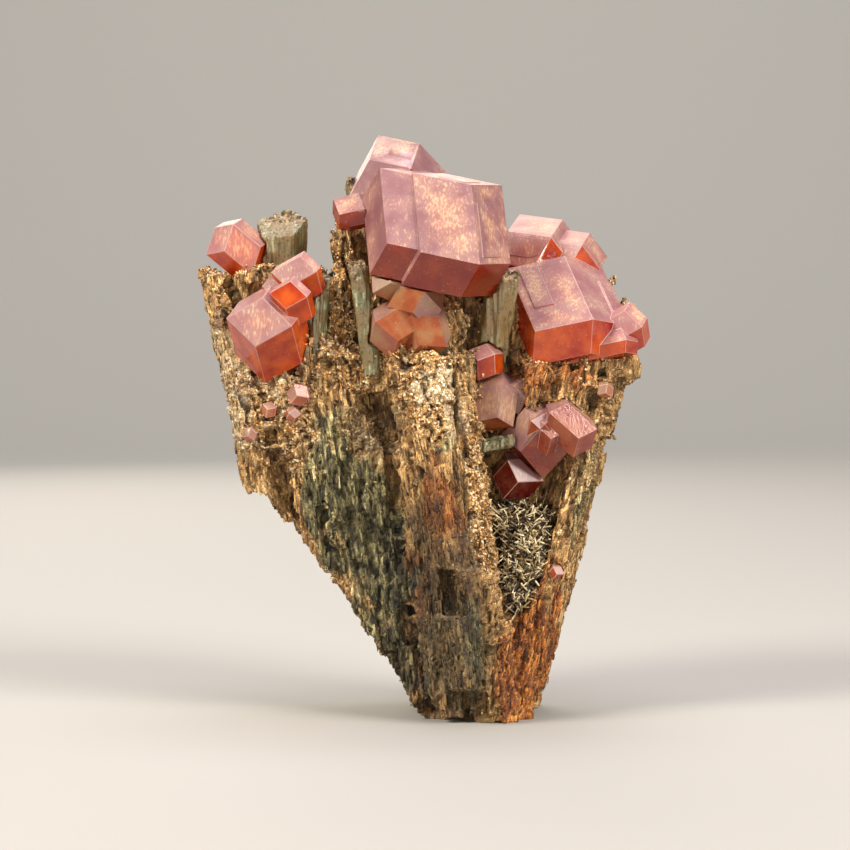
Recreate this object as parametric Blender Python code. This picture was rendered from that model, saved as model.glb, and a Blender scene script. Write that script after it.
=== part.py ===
# Garnet in matrix: stretched rhombic dodecahedra of orange-red garnet on a fan of fibrous rock columns.
# Metres, +Z up. +X is to the right and -Y to the front. The origin is the middle of the flat broken foot
# that the specimen stands on. The named dimensions are in millimetres and degrees.

import itertools
import math
import random

import bmesh
import bpy
import numpy as np
from mathutils import Euler, Matrix, Vector
from mathutils.bvhtree import BVHTree

MM = 0.001

# ---- driving dimensions ----
GAP = 0.3                     # clearance between pieces that touch
WELD = 0.001                  # points nearer than this are one point
LEVEL = 1.0                   # faces that meet at a smaller angle than this are one face
SEED = 11                     # the breaks, leans and jitters of the rock
FAR = 80.0                    # farther out than anything in the specimen

# the fan of rock columns, laid out in plan at the height FAN_LEVEL
FAN_LEVEL = 30.0
FAN_LEFT = -29.0
FAN_SPLIT = 1.8               # the left bundle and the right bundle part here
FAN_RIGHT = 14.2
COLUMN_PITCH = 3.1
COLUMN_RADIUS = 2.5
COLUMN_WAIST = 0.86           # radius at a column's foot, as a share of COLUMN_RADIUS
COLUMN_FLARE = 1.05           # the same at its head
COLUMN_FLARE_MIDDLE = 1.55    # the same where the fibres spread apart behind the pocket
COLUMN_SIDES = 5
COLUMN_SHORTEST = 5.0
RADIUS_JITTER = (0.92, 1.15)  # a column's radius as a share of COLUMN_RADIUS
PLACE_JITTER = (0.6, 0.5)     # unevenness of the columns' places, across and in depth
EDGE_KEEP = 1.6               # a column's middle stays this far inside the outline in plan
GRID_FRONT = -14.0            # y of the first row of columns
GRID_DEPTH = 30.0             # the rows reach this far back
BREAK_JITTER = 1.3            # how unevenly the columns are broken off
BREAK_TILT = 0.4              # unevenness of the slope of a broken column end
STEEPEST = 1.5                # steepest slope of the underside
LEAN_LEFT_EDGE = -0.172       # sideways run of a fibre for each millimetre of height, at the left edge
LEAN_MIDDLE = -0.125          # the same beside the pocket
LEAN_RIGHT = 0.23             # the same in the right bundle
LEAN_MIXED = (-7.0, 8.0)      # behind the pocket the lean passes from one bundle's to the other's over this x
LEAN_BACK = 0.12              # backward run of the rearmost fibres for each millimetre of height
FOOT_SHARE = 0.75             # share of the columns over the foot that reach the ground
FOOT_DEEP = -1.0              # those start this low and are cut off level with the ground
FOOT_CHIPPED = (0.6, 2.4)     # the others end at these heights
FIBRE_STEPS = 12              # steps in which the height where a fibre meets an outline is found
UNDER_GUESS = 15.0            # heights that the steps start from, for the underside and the tops
TOP_GUESS = 48.0

# slivers of rock that stand out from the columns
STRIP_COUNT = 66
STRIP_BACK_EVERY = 3          # every third one is on the back
STRIP_SIDES = 4
STRIP_LENGTH = (5.0, 16.0)
STRIP_SHORTEST = 2.5
STRIP_RADIUS = (0.6, 1.2)
STRIP_TAPER = (0.7, 1.0)
STRIP_SINK = 1.0              # deepest that a sliver's middle lies behind the outline
STRIP_LOWEST = 1.0
STRIP_KEEP = (1.5, 1.0)       # distance that a sliver keeps from the underside and from the tops

# outlines of the rock: (x, y) of its front and back in plan, (x, z) of its broken underside and of its
# tops at the front and at the back
FRONT_LINE = [(-30, -3), (-28, -7), (-20, -8.5), (-10, -8.3), (-8.8, -12.5), (-2.6, -12.8), (-0.8, -10.5),
              (2, -9), (12, -8.5), (15, -5)]
BACK_LINE = [(-30, 2), (-26, 6), (-18, 9.5), (-8, 12.5), (3, 12.5), (9, 10), (15, 5)]
UNDER_LINE = [(-29, 32), (-27, 29.5), (-25.4, 26.8), (-22.0, 22.8), (-20.6, 20), (-17.2, 16.5), (-14.2, 12.3),
              (-12, 8.6), (-10, 5.2), (-7.8, 1.6), (-6.4, -1.5), (8.2, -1.5), (9.4, 3), (10.5, 8)]
FRONT_TOPS = [(-32, 46), (-29, 42), (-22, 41.5), (-20.5, 44.5), (-12, 44.2), (-10.8, 43), (-2, 42),
              (0, 43.5), (20, 43.2)]
BACK_TOPS = [(-33, 52.5), (-27, 52.8), (-22, 53.4), (-20.4, 50.5), (-18.6, 47.5), (-17, 48.5), (-16, 57),
             (-13, 58.5), (-9, 60), (-3, 60), (1, 57), (4, 54), (10, 52), (14, 50.5), (18, 46), (20, 44.5)]
BACK_TOPS_BEGIN = -1.0        # y where the rock has risen to its back tops
FRONT_TOPS_END = -6.0         # y where it starts to rise
BACK_SLOPE_BEGIN = 6.5        # y where the tops fall away and the underside rises again
BACK_SLOPE = 1.1
BROW_BEGIN = -10.0            # y in front of which the rock's underside rises
BROW_SLOPE = 1.6

# extra blocks of rock on the ridge: foot, head, radius at each end
BLOCKS = [
    dict(foot=(1.4, -12.2, 9.0), head=(-0.9, -12.9, 18.6), radii=(2.4, 3.0), sides=5),
    dict(foot=(-1.6, -12.0, 4.0), head=(-3.4, -13.2, 13.0), radii=(2.4, 2.9), sides=6),
    dict(foot=(-3.4, -12.4, 18.4), head=(-5.2, -13.0, 31.4), radii=(2.1, 2.3), sides=5),
    dict(foot=(-5.0, -11.5, 30.0), head=(-7.0, -11.6, 42.4), radii=(3.4, 3.8), sides=6),
    dict(foot=(-1.4, -10.6, 14.0), head=(-3.0, -10.8, 40.0), radii=(1.7, 2.0), sides=5),
    dict(foot=(9.0, -5.0, 36.0), head=(8.6, -4.6, 43.6), radii=(3.2, 4.4), sides=7),
    dict(foot=(13.4, -5.4, 33.0), head=(14.8, -5.2, 43.6), radii=(2.8, 3.6), sides=6),
    dict(foot=(-26.2, -4.4, 27.4), head=(-28.0, -4.8, 37.6), radii=(2.2, 2.4), sides=6),
    dict(foot=(-16.2, -6.5, 44.0), head=(-15.9, -2.6, 58.6), radii=(2.0, 1.6), sides=6),
]

# lumps of sugary rock: middle and half sizes
LUMPS = [
    dict(at=(-5.4, -11.5, 41.6), size=(4.2, 3.0, 2.6)),
    dict(at=(-2.4, -11.0, 39.0), size=(2.4, 2.6, 3.0)),
    dict(at=(-16.0, -7.2, 43.6), size=(4.4, 2.8, 1.8)),
    dict(at=(-16.4, -4.0, 47.0), size=(2.2, 2.0, 2.2)),
    dict(at=(-26.0, -3.4, 52.6), size=(3.6, 2.8, 1.8)),
    dict(at=(-31.0, -3.2, 48.4), size=(1.8, 2.6, 3.4)),
    dict(at=(-20.0, -8.0, 40.4), size=(2.2, 1.6, 3.2)),
    dict(at=(-4.0, -6.6, 46.6), size=(3.4, 3.0, 3.4)),
    dict(at=(7.6, -7.8, 41.2), size=(3.2, 2.4, 2.2)),
    dict(at=(11.8, -7.6, 40.4), size=(3.0, 2.6, 2.6)),
    dict(at=(9.6, -7.4, 38.6), size=(3.2, 2.0, 1.5)),
    dict(at=(17.2, -5.8, 42.0), size=(2.2, 3.0, 2.6)),
    dict(at=(-13.6, -8.0, 37.0), size=(2.6, 1.4, 2.0)),
    dict(at=(-9.6, 5.6, 58.0), size=(4.0, 3.2, 3.0)),
    dict(at=(3.4, 3.4, 54.0), size=(3.4, 3.6, 2.6)),
]
LUMP_POINTS = 16
LUMP_JITTER = (0.86, 1.06)    # distance of a corner from the middle, as a share of the half size

# hollows: convex cutters through corner points
HOLLOWS = {
    "pocket": [(0.2, -16, 37.4), (13.4, -16, 37.4), (12.2, -16, 31), (10.4, -16, 25), (9.2, -16, 18),
               (4.6, -16, 9.6), (2.6, -16, 9.6), (1.8, -16, 16), (0.6, -16, 24), (-0.6, -16, 32),
               (1.2, -3, 36.6), (10.8, -3, 36.6), (10.0, -3, 31), (8.4, -3, 24), (6.0, -3, 15.5),
               (3.4, -3, 14), (2.2, -3, 20), (1.2, -3, 30)],
    "pocket_top": [(-1.8, -16, 43.6), (5.4, -16, 43.6), (5.8, -16, 35), (-1.0, -16, 35),
                   (-0.6, -4.6, 42.8), (4.6, -4.6, 42.8), (4.8, -4.6, 36), (0.2, -4.6, 36)],
    "alcove": [(-15.6, -11, 39.4), (-10.4, -11, 39.8), (-9.6, -11, 35), (-9.2, -11, 31.0), (-12.4, -11, 31.6),
               (-15.0, -11, 35.0), (-13.8, -5.2, 38.2), (-11.0, -5.0, 38.6), (-10.4, -5.0, 33)],
    "crack": [(-9.4, -16, 24.0), (-8.4, -16, 24.4), (-7.6, -16, 17), (-7.2, -16, 11.4), (-8.2, -16, 11.0),
              (-9.0, -16, 17), (-8.8, -9.0, 22), (-8.0, -9.0, 13)],
    "slit_left": [(-18.4, -12, 30.2), (-17.8, -12, 30.0), (-17.5, -12, 26.8), (-17.9, -12, 26.6),
                  (-18, -6, 28.4)],
    "slit_right": [(-14.3, -12, 29.8), (-13.6, -12, 29.6), (-13.3, -12, 25.6), (-13.8, -12, 25.6),
                   (-13.9, -6, 28)],
    "foot_notch": [(1.0, -16, -1), (3.0, -16, -1), (2.1, -16, 1.9), (1.6, -6, -1), (2.6, -6, -1),
                   (2.1, -6, 1.0)],
    "cleft": [(-11.0, -16, 13.4), (-10.2, -16, 13.6), (-8.9, -16, 7.0), (-9.5, -16, 6.6), (-10, -7, 10)],
}

# crystal axes: the four edge directions of a rhombic dodecahedron
EDGE_AXES = [Vector(v).normalized() for v in ((1, 1, 1), (1, -1, -1), (-1, 1, -1), (-1, -1, 1))]
FACE_SHIFT = math.sqrt(1.5)   # edge growth that moves every face out by one unit

# each garnet: its middle, how it is turned about X, Y and Z, and its four edge lengths
TURN_TOP = (45, -16, 21)
TURN_LEFT = (104, 79, -138)
TURN_BIG = (-168, -37, 18)
TURN_BEHIND = (159, -14, 23)
TURN_RIGHT = (-25, -45, 34)
TURN_RIGHT_BACK = (-13, -57, 123)
TURN_POCKET = (-21, -68, 76)
GARNETS = {
    "garnet_left_top": [
        dict(at=(-28.9, -1.8, 55.7), turn=TURN_TOP, edges=(3.4, 4.4, 2.8, 3.8)),
    ],
    "garnet_left_cluster": [
        dict(at=(-24.8, -8.1, 45.9), turn=TURN_LEFT, edges=(5.0, 5.0, 6.5, 4.2)),
        dict(at=(-22.0, -11.1, 49.5), turn=TURN_LEFT, edges=(2.9, 2.8, 3.6, 1.4)),
        dict(at=(-21.4, -8.8, 52.1), turn=TURN_LEFT, edges=(4.0, 2.8, 3.6, 1.4)),
        dict(at=(-22.6, -7.4, 50.6), turn=TURN_LEFT, edges=(3.6, 2.8, 3.6, 2.4)),
    ],
    "garnet_centre_cluster": [
        dict(at=(-5.3, -8.2, 57.9), turn=TURN_BIG, edges=(10.8, 9.7, 8.0, 5.2)),
        dict(at=(-3.4, -9.0, 57.4), turn=TURN_BIG, edges=(7.0, 10.2, 7.7, 5.5)),
        dict(at=(-9.8, -0.4, 63.3), turn=TURN_BEHIND, edges=(5.6, 6.4, 5.8, 5.0)),
        dict(at=(-15.0, -6.2, 60.0), turn=TURN_RIGHT, edges=(3.1, 3.2, 1.8, 1.9)),
    ],
    "garnet_centre_lower": [
        dict(at=(-10.4, -9.0, 52.2), turn=(-150, -30, 40), edges=(3.4, 3.0, 3.4, 2.6)),
        dict(at=(-7.6, -9.6, 49.6), turn=TURN_BEHIND, edges=(3.4, 3.2, 3.6, 2.8)),
        dict(at=(-10.0, -9.4, 46.6), turn=(104, 79, -110), edges=(3.8, 3.4, 3.4, 3.0)),
        dict(at=(-6.6, -9.2, 46.2), turn=(-140, -50, 18), edges=(3.2, 3.6, 3.4, 2.8)),
    ],
    "garnet_right_cluster": [
        dict(at=(10.3, -2.7, 47.9), turn=TURN_RIGHT, edges=(11.8, 7.2, 4.3, 7.2)),
        dict(at=(12.8, -4.0, 46.8), turn=TURN_RIGHT, edges=(11.0, 7.4, 1.6, 2.4)),
        dict(at=(17.1, -6.6, 46.1), turn=TURN_LEFT, edges=(3.1, 2.9, 3.4, 2.4)),
        dict(at=(6.9, 5.1, 54.8), turn=TURN_RIGHT_BACK, edges=(4.6, 7.9, 4.3, 6.0)),
        dict(at=(10.8, 3.6, 53.5), turn=TURN_RIGHT_BACK, edges=(4.0, 5.6, 4.6, 4.4)),
    ],
    "garnet_pocket_left": [
        dict(at=(1.7, -5.6, 37.7), turn=(-38, -43, 150), edges=(2.6, 4.3, 4.0, 3.2)),
        dict(at=(4.4, -5.2, 38.4), turn=(-20, -60, 100), edges=(2.2, 2.6, 2.4, 2.2)),
    ],
    "garnet_pocket_right": [
        dict(at=(10.3, -8.5, 34.9), turn=TURN_POCKET, edges=(4.6, 2.6, 2.9, 3.1)),
        dict(at=(7.6, -8.0, 34.4), turn=TURN_POCKET, edges=(3.2, 2.4, 2.6, 2.8)),
        dict(at=(7.4, -6.0, 33.6), turn=(76, 0, 0), edges=(4.8, 4.8, 4.0, 4.0)),
    ],
    "garnet_pocket_low": [
        dict(at=(4.4, -4.4, 28.8), turn=(103, 36, 67), edges=(3.4, 3.1, 2.9, 3.1)),
    ],
    "garnet_pocket_top": [
        dict(at=(0.6, -6.6, 42.4), turn=(70, 30, 15), edges=(2.2, 2.6, 2.0, 2.2)),
    ],
}

# garnets that stop short against a neighbour
TRIMMED = {
    "garnet_centre_lower": "garnet_centre_cluster",
    "garnet_pocket_right": "garnet_pocket_left",
    "garnet_pocket_low": "garnet_pocket_right",
    "garnet_pocket_top": "garnet_pocket_left",
}

# small garnets set in the front of the rock: x and z, how they are turned, edge length
SMALL_GARNETS = [
    dict(x=-21.4, z=38.6, turn=(-168, -37, 40), edge=1.5),
    dict(x=-24.9, z=36.7, turn=(-25, -45, 60), edge=1.1),
    dict(x=-22.1, z=36.3, turn=(104, 79, -100), edge=1.0),
    dict(x=-27.2, z=33.9, turn=(45, -16, 21), edge=1.0),
    dict(x=14.6, z=39.2, turn=(-38, -43, 150), edge=1.1),
    dict(x=8.9, z=17.6, turn=(103, 36, 67), edge=1.0),
]
SMALL_SINK = 0.2              # how far behind the rock's surface a small garnet's middle lies

# grey-green prisms: foot, head, radii across and in depth at the foot and the head, sides, how they are
# turned about their length, slope of the head across and in depth
PRISMS = {
    "prism_left_stub": dict(foot=(-23.6, 0.4, 49.0), head=(-23.8, 0.0, 58.6), foot_size=(2.6, 2.4),
                            head_size=(3.3, 3.0), sides=5, spin=-62, slope=(0.12, 0.55)),
    "prism_left_slender": dict(foot=(-19.9, -6.6, 41.0), head=(-19.0, -7.2, 52.2), foot_size=(1.4, 1.3),
                               head_size=(1.5, 1.3), sides=5, spin=-70, slope=(0.2, 0.5)),
    "prism_centre_slender": dict(foot=(-12.8, -9.2, 41.0), head=(-14.5, -9.6, 54.0), foot_size=(1.1, 1.0),
                                 head_size=(1.3, 1.2), sides=5, spin=-75, slope=(-0.2, 0.5)),
    "prism_right_thick": dict(foot=(0.8, -5.6, 40.5), head=(2.6, -6.2, 52.6), foot_size=(1.9, 1.7),
                              head_size=(2.1, 1.8), sides=6, spin=-75, slope=(0.5, 0.2)),
    "prism_back_stub": dict(foot=(-14.4, 0.6, 54.0), head=(-15.2, 0.8, 64.2), foot_size=(1.3, 1.2),
                            head_size=(1.1, 1.0), sides=5, spin=20, slope=(0.3, 0.2)),
    "prism_bar": dict(foot=(-1.8, -7.4, 32.1), head=(4.7, -7.8, 33.3), foot_size=(1.15, 1.15),
                      head_size=(1.05, 1.1), sides=4, spin=38, slope=(0.0, 0.1)),
}

# the needle crust in the pocket: corner points of its bed, and its needles
CRUST_BED = [(1.9, -3.6, 25.6), (8.6, -3.6, 25.2), (7.4, -3.6, 18), (4.8, -3.6, 12.2), (3.4, -3.6, 12.2),
             (2.3, -3.6, 18), (2.2, -6.0, 24.0), (8.0, -6.0, 23.6), (7.4, -6.8, 18.4), (4.7, -7.4, 12.8),
             (3.6, -7.4, 12.8), (2.7, -6.6, 18.4)]
NEEDLE_COUNT = 40
NEEDLE_LENGTH = (1.2, 2.2)
NEEDLE_RADIUS = 0.24
NEEDLE_TAPER = 0.7            # radius at the tip, as a share of NEEDLE_RADIUS
NEEDLE_SIDES = 4
NEEDLE_SINK = 0.4             # length of a needle inside the bed
NEEDLE_ROOTS = ((2.0, 8.4), (12.5, 25.2))               # x and z that the needles stand between
NEEDLE_WAYS = ((-1.0, 1.0), (-1.0, -0.25), (-0.8, 1.0)) # how far they lean in x, y and z
NEEDLE_CLEAR = 1.0            # needles keep this far inside the pocket's walls

# ---- colours (linear), roughness ----
FINISHES = {
    "garnet": ((0.42, 0.07, 0.03), 0.25),
    "prism": ((0.20, 0.21, 0.13), 0.55),
    "rock": ((0.40, 0.24, 0.09), 0.85),
    "needles": ((0.45, 0.40, 0.24), 0.6),
}

rng = random.Random(SEED)


def between(line, x):
    """The value at x of a line given by (x, value) points."""
    return float(np.interp(x, [p[0] for p in line], [p[1] for p in line]))


# ---- meshes ----

def new_object(name, bm, home):
    """An object that holds what a bmesh has, in the given collection."""
    mesh = bpy.data.meshes.new(name)
    bm.to_mesh(mesh)
    bm.free()
    obj = bpy.data.objects.new(name, mesh)
    home.objects.link(obj)
    return obj


def hull_object(name, points, home):
    """A convex solid through points given in millimetres."""
    bm = bmesh.new()
    for point in points:
        bm.verts.new(Vector(point) * MM)
    result = bmesh.ops.convex_hull(bm, input=bm.verts)
    spare = {v for v in result["geom_interior"] + result["geom_unused"] if isinstance(v, bmesh.types.BMVert)}
    bmesh.ops.delete(bm, geom=list(spare), context="VERTS")
    bmesh.ops.dissolve_limit(bm, angle_limit=math.radians(LEVEL), verts=bm.verts, edges=bm.edges)
    bmesh.ops.recalc_face_normals(bm, faces=bm.faces)
    return new_object(name, bm, home)


def grown(points, grow):
    """The points with copies of them moved out to the corners of a small cube."""
    corners = [Vector(signs) * grow for signs in itertools.product((-1, 1), repeat=3)]
    return [Vector(point) + corner for point in points for corner in corners]


def zonotope(crystal, grow=0.0):
    """The corner points of a garnet, with its faces moved out by grow."""
    turn = Euler([math.radians(a) for a in crystal["turn"]], "XYZ").to_matrix()
    halves = [turn @ axis * (length + grow * FACE_SHIFT) / 2
              for axis, length in zip(EDGE_AXES, crystal["edges"])]
    points = []
    for signs in itertools.product((-1, 1), repeat=4):
        offset = sum((half * sign for half, sign in zip(halves, signs)), Vector())
        points.append(Vector(crystal["at"]) + offset)
    return points


def add_column(bm, foot, head, radii, sides, spin, foot_slope=(0, 0), head_slope=(0, 0)):
    """A tapered upright column between two points, its broken ends sloped across X and Y."""
    foot, head = Vector(foot), Vector(head)
    made = bmesh.ops.create_cone(bm, cap_ends=True, segments=sides, radius1=1.0, radius2=1.0, depth=1.0)
    for vert in made["verts"]:
        along = vert.co.z + 0.5
        across = Matrix.Rotation(spin, 2) @ vert.co.xy
        across *= radii[0] + (radii[1] - radii[0]) * along
        slope = head_slope if along > 0.5 else foot_slope
        rise = across.x * slope[0] + across.y * slope[1]
        vert.co = (foot.lerp(head, along) + Vector((across.x, across.y, rise))) * MM


def prism_points(prism, grow=0.0):
    """The corners of a prism whose faces are moved out by grow."""
    foot, head = Vector(prism["foot"]), Vector(prism["head"])
    axis = (head - foot).normalized()
    side = axis.cross(Vector((0, 1, 0))).normalized() * -1
    depth = axis.cross(side)
    flat_growth = grow / math.cos(math.pi / prism["sides"])
    points = []
    for end, size, stretch in ((foot, prism["foot_size"], -grow), (head, prism["head_size"], grow)):
        slope = prism["slope"] if end is head else (0, 0)
        for k in range(prism["sides"]):
            angle = math.radians(prism["spin"]) + 2 * math.pi * k / prism["sides"]
            across = math.cos(angle) * (size[0] + flat_growth)
            inward = math.sin(angle) * (size[1] + flat_growth)
            rise = across * slope[0] + inward * slope[1] + stretch
            points.append(end + side * across + depth * inward + axis * rise)
    return points


def combine(target, other, operation, solver="MANIFOLD"):
    """Join or cut a solid with another, which is then removed. EXACT takes solids that overlap themselves."""
    modifier = target.modifiers.new(operation, "BOOLEAN")
    modifier.operation = operation
    modifier.solver = solver
    modifier.use_self = solver == "EXACT"
    modifier.object = other
    result = bpy.data.meshes.new_from_object(target.evaluated_get(bpy.context.evaluated_depsgraph_get()))
    target.modifiers.remove(modifier)
    target.data = result
    bpy.data.objects.remove(other, do_unlink=True)


def keep_largest_shell(obj):
    """Drop every closed shell but the largest, so that no sealed hole or crumb is left."""
    bm = bmesh.new()
    bm.from_mesh(obj.data)
    shells = []
    unseen = set(bm.faces)
    while unseen:
        stack = [unseen.pop()]
        shell = []
        while stack:
            face = stack.pop()
            shell.append(face)
            near = {other for edge in face.edges for other in edge.link_faces} & unseen
            unseen -= near
            stack.extend(near)
        shells.append(shell)
    shells.sort(key=lambda shell: sum(face.calc_area() for face in shell))
    crumbs = [face for shell in shells[:-1] for face in shell]
    bmesh.ops.delete(bm, geom=crumbs, context="FACES")
    bm.to_mesh(obj.data)
    bm.free()


def tidy(obj):
    """Weld the points that a cut has left on top of each other, and make every face a triangle."""
    keep_largest_shell(obj)
    bm = bmesh.new()
    bm.from_mesh(obj.data)
    bmesh.ops.remove_doubles(bm, verts=bm.verts, dist=WELD * MM)
    bmesh.ops.triangulate(bm, faces=bm.faces, ngon_method="EAR_CLIP")
    bm.to_mesh(obj.data)
    bm.free()


def finish(obj, finish_name):
    """Give an object its own material."""
    colour, roughness = FINISHES[finish_name]
    material = bpy.data.materials.new(obj.name)
    material.use_nodes = True
    shader = material.node_tree.nodes["Principled BSDF"]
    shader.inputs["Base Color"].default_value = (*colour, 1.0)
    shader.inputs["Roughness"].default_value = roughness
    shader.inputs["Metallic"].default_value = 0.0
    obj.data.materials.clear()
    obj.data.materials.append(material)


# ---- the rock ----

def lean_at(x, y):
    """Sideways and backward run of a fibre for each millimetre of height."""
    left, right = LEAN_MIXED
    if x > FAN_SPLIT:
        parted = LEAN_RIGHT
    else:
        parted = between([(FAN_LEFT, LEAN_LEFT_EDGE), (FAN_SPLIT, LEAN_MIDDLE)], x)
    mixed = between([(FAN_LEFT, LEAN_LEFT_EDGE), (left, LEAN_MIDDLE), (right, LEAN_RIGHT)], x)
    behind = np.clip((y - FRONT_TOPS_END) / (BACK_TOPS_BEGIN - FRONT_TOPS_END), 0, 1)
    sideways = parted * (1 - behind) + mixed * behind
    return sideways, LEAN_BACK * max(0.0, y) / max(v for _, v in BACK_LINE)


def on_fibre(x, y, z):
    """The point at height z of the fibre that passes (x, y) at FAN_LEVEL."""
    sideways, backward = lean_at(x, y)
    rise = z - FAN_LEVEL
    return Vector((x + sideways * rise, y + backward * rise, z))


def under_height(x, y):
    """Height of the rock's broken underside on a fibre."""
    z = UNDER_GUESS
    for _ in range(FIBRE_STEPS):
        z = between(UNDER_LINE, on_fibre(x, y, z).x)
    z += BACK_SLOPE * max(0.0, y - BACK_SLOPE_BEGIN)
    return z + BROW_SLOPE * max(0.0, BROW_BEGIN - y)


def top_height(x, y):
    """Height of the rock's tops on a fibre."""
    rise = np.clip((y - FRONT_TOPS_END) / (BACK_TOPS_BEGIN - FRONT_TOPS_END), 0, 1)
    z = TOP_GUESS
    for _ in range(FIBRE_STEPS):
        at = on_fibre(x, y, z).x
        z = between(FRONT_TOPS, at) * (1 - rise) + between(BACK_TOPS, at) * rise
    return z - BACK_SLOPE * max(0.0, y - BACK_SLOPE_BEGIN)


def random_slope(along_x=0.0, along_y=0.0):
    """The slope of a broken end about a mean slope."""
    return (along_x + rng.uniform(-BREAK_TILT, BREAK_TILT), along_y + rng.uniform(-BREAK_TILT, BREAK_TILT))


def under_slope(x, y):
    """Slope of the rock's underside across X and Y."""
    return (np.clip(under_height(x + 0.5, y) - under_height(x - 0.5, y), -STEEPEST, STEEPEST),
            np.clip(under_height(x, y + 0.5) - under_height(x, y - 0.5), -STEEPEST, STEEPEST))


def column_places():
    """Places of the columns in plan: a staggered grid with jitter, inside the front and back lines."""
    row_step = COLUMN_PITCH * math.sqrt(0.75)
    across, inward = PLACE_JITTER
    for row in range(int(GRID_DEPTH / row_step)):
        start = FAN_LEFT + (row % 2) * COLUMN_PITCH / 2
        for grid_x in np.arange(start, FAN_RIGHT, COLUMN_PITCH):
            y = GRID_FRONT + row * row_step + rng.uniform(-inward, inward)
            x = grid_x + rng.uniform(-across, across)
            if between(FRONT_LINE, x) + EDGE_KEEP <= y <= between(BACK_LINE, x) - EDGE_KEEP:
                yield min(x, FAN_RIGHT - EDGE_KEEP), y


def rock_columns(home):
    """The two bundles of columns, still overlapping."""
    bm = bmesh.new()
    for x, y in column_places():
        low = under_height(x, y)
        high = top_height(x, y) + rng.uniform(-BREAK_JITTER, BREAK_JITTER)
        if low < 0:
            low = FOOT_DEEP if rng.random() < FOOT_SHARE else rng.uniform(*FOOT_CHIPPED)
        else:
            low = max(FOOT_CHIPPED[0], low + rng.uniform(-BREAK_JITTER, BREAK_JITTER) / 2)
        radius = COLUMN_RADIUS * rng.uniform(*RADIUS_JITTER)
        spin = rng.uniform(0, math.tau)
        if high - low > COLUMN_SHORTEST:
            spreads = y > BACK_TOPS_BEGIN and LEAN_MIXED[0] < x < LEAN_MIXED[1]
            flare = COLUMN_FLARE_MIDDLE if spreads else COLUMN_FLARE
            slope = random_slope(*under_slope(x, y)) if low > 0 else random_slope()
            add_column(bm, on_fibre(x, y, low), on_fibre(x, y, high), (radius * COLUMN_WAIST, radius * flare),
                       COLUMN_SIDES, spin, slope, random_slope())
    for block in BLOCKS:
        add_column(bm, block["foot"], block["head"], block["radii"], block["sides"],
                   rng.uniform(0, math.tau), random_slope(), random_slope())
    return new_object("columns", bm, home)


def rock_strips(home):
    """Thin slivers that stand out from the front and the back of the columns."""
    bm = bmesh.new()
    for k in range(STRIP_COUNT):
        x = rng.uniform(FAN_LEFT + STRIP_SINK, FAN_RIGHT - STRIP_SINK)
        if k % STRIP_BACK_EVERY:
            y = between(FRONT_LINE, x) + rng.uniform(0.0, STRIP_SINK)
        else:
            y = between(BACK_LINE, x) - rng.uniform(0.0, STRIP_SINK)
        low = max(STRIP_LOWEST, under_height(x, y) + STRIP_KEEP[0])
        high = top_height(x, y) - STRIP_KEEP[1]
        length = rng.uniform(*STRIP_LENGTH)
        start = rng.uniform(low, max(low, high - length))
        end = min(high, start + length)
        radius = rng.uniform(*STRIP_RADIUS)
        if end - start > STRIP_SHORTEST:
            radii = (radius, radius * rng.uniform(*STRIP_TAPER))
            add_column(bm, on_fibre(x, y, start), on_fibre(x, y, end), radii, STRIP_SIDES,
                       rng.uniform(0, math.tau), random_slope(), random_slope())
    return new_object("strips", bm, home)


def lump_points(lump):
    """Points scattered over an ellipsoid."""
    points = []
    for _ in range(LUMP_POINTS):
        away = Vector([rng.gauss(0, 1) for _ in range(3)]).normalized()
        away *= rng.uniform(*LUMP_JITTER)
        points.append(Vector(lump["at"]) + Vector([a * s for a, s in zip(away, lump["size"])]))
    return points


def build_rock(home, cutters):
    """The matrix: columns, slivers and lumps in one solid, with its hollows and its flat foot."""
    rock = rock_columns(home)
    rock.name = "matrix"
    combine(rock, rock_strips(cutters), "UNION", "EXACT")
    for lump in LUMPS:
        combine(rock, hull_object("lump", lump_points(lump), cutters), "UNION")
    keep_largest_shell(rock)
    for name, points in HOLLOWS.items():
        combine(rock, hull_object(name, points, cutters), "DIFFERENCE")
    below = bmesh.new()
    bmesh.ops.create_cube(below, size=FAR * MM, matrix=Matrix.Translation((0, 0, -FAR / 2 * MM)))
    combine(rock, new_object("ground", below, cutters), "DIFFERENCE")
    keep_largest_shell(rock)
    return rock


# ---- the crystals ----

def build_garnet(name, crystals, home, cutters):
    """One garnet, or several that have grown together, in one solid."""
    obj = hull_object(name, zonotope(crystals[0]), home)
    for crystal in crystals[1:]:
        combine(obj, hull_object("neighbour", zonotope(crystal), cutters), "UNION")
    if len(crystals) > 1:
        tidy(obj)
    return obj


def cut_by_garnets(obj, garnets, cutters):
    """Cut the sockets of garnets into a piece, a gap wider than the garnets."""
    for crystals in garnets:
        for crystal in crystals:
            combine(obj, hull_object("socket", zonotope(crystal, GAP), cutters), "DIFFERENCE")


def small_garnets(rock):
    """The small garnets, each set where a line from the front meets the rock."""
    bm = bmesh.new()
    bm.from_mesh(rock.data)
    tree = BVHTree.FromBMesh(bm)
    bm.free()
    found = {}
    for number, small in enumerate(SMALL_GARNETS, 1):
        start = Vector((small["x"], -FAR, small["z"])) * MM
        hit = tree.ray_cast(start, Vector((0, 1, 0)))[0]
        at = (small["x"], hit.y / MM + SMALL_SINK, small["z"])
        found[f"garnet_small_{number}"] = [dict(at=at, turn=small["turn"], edges=[small["edge"]] * 4)]
    return found


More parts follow.
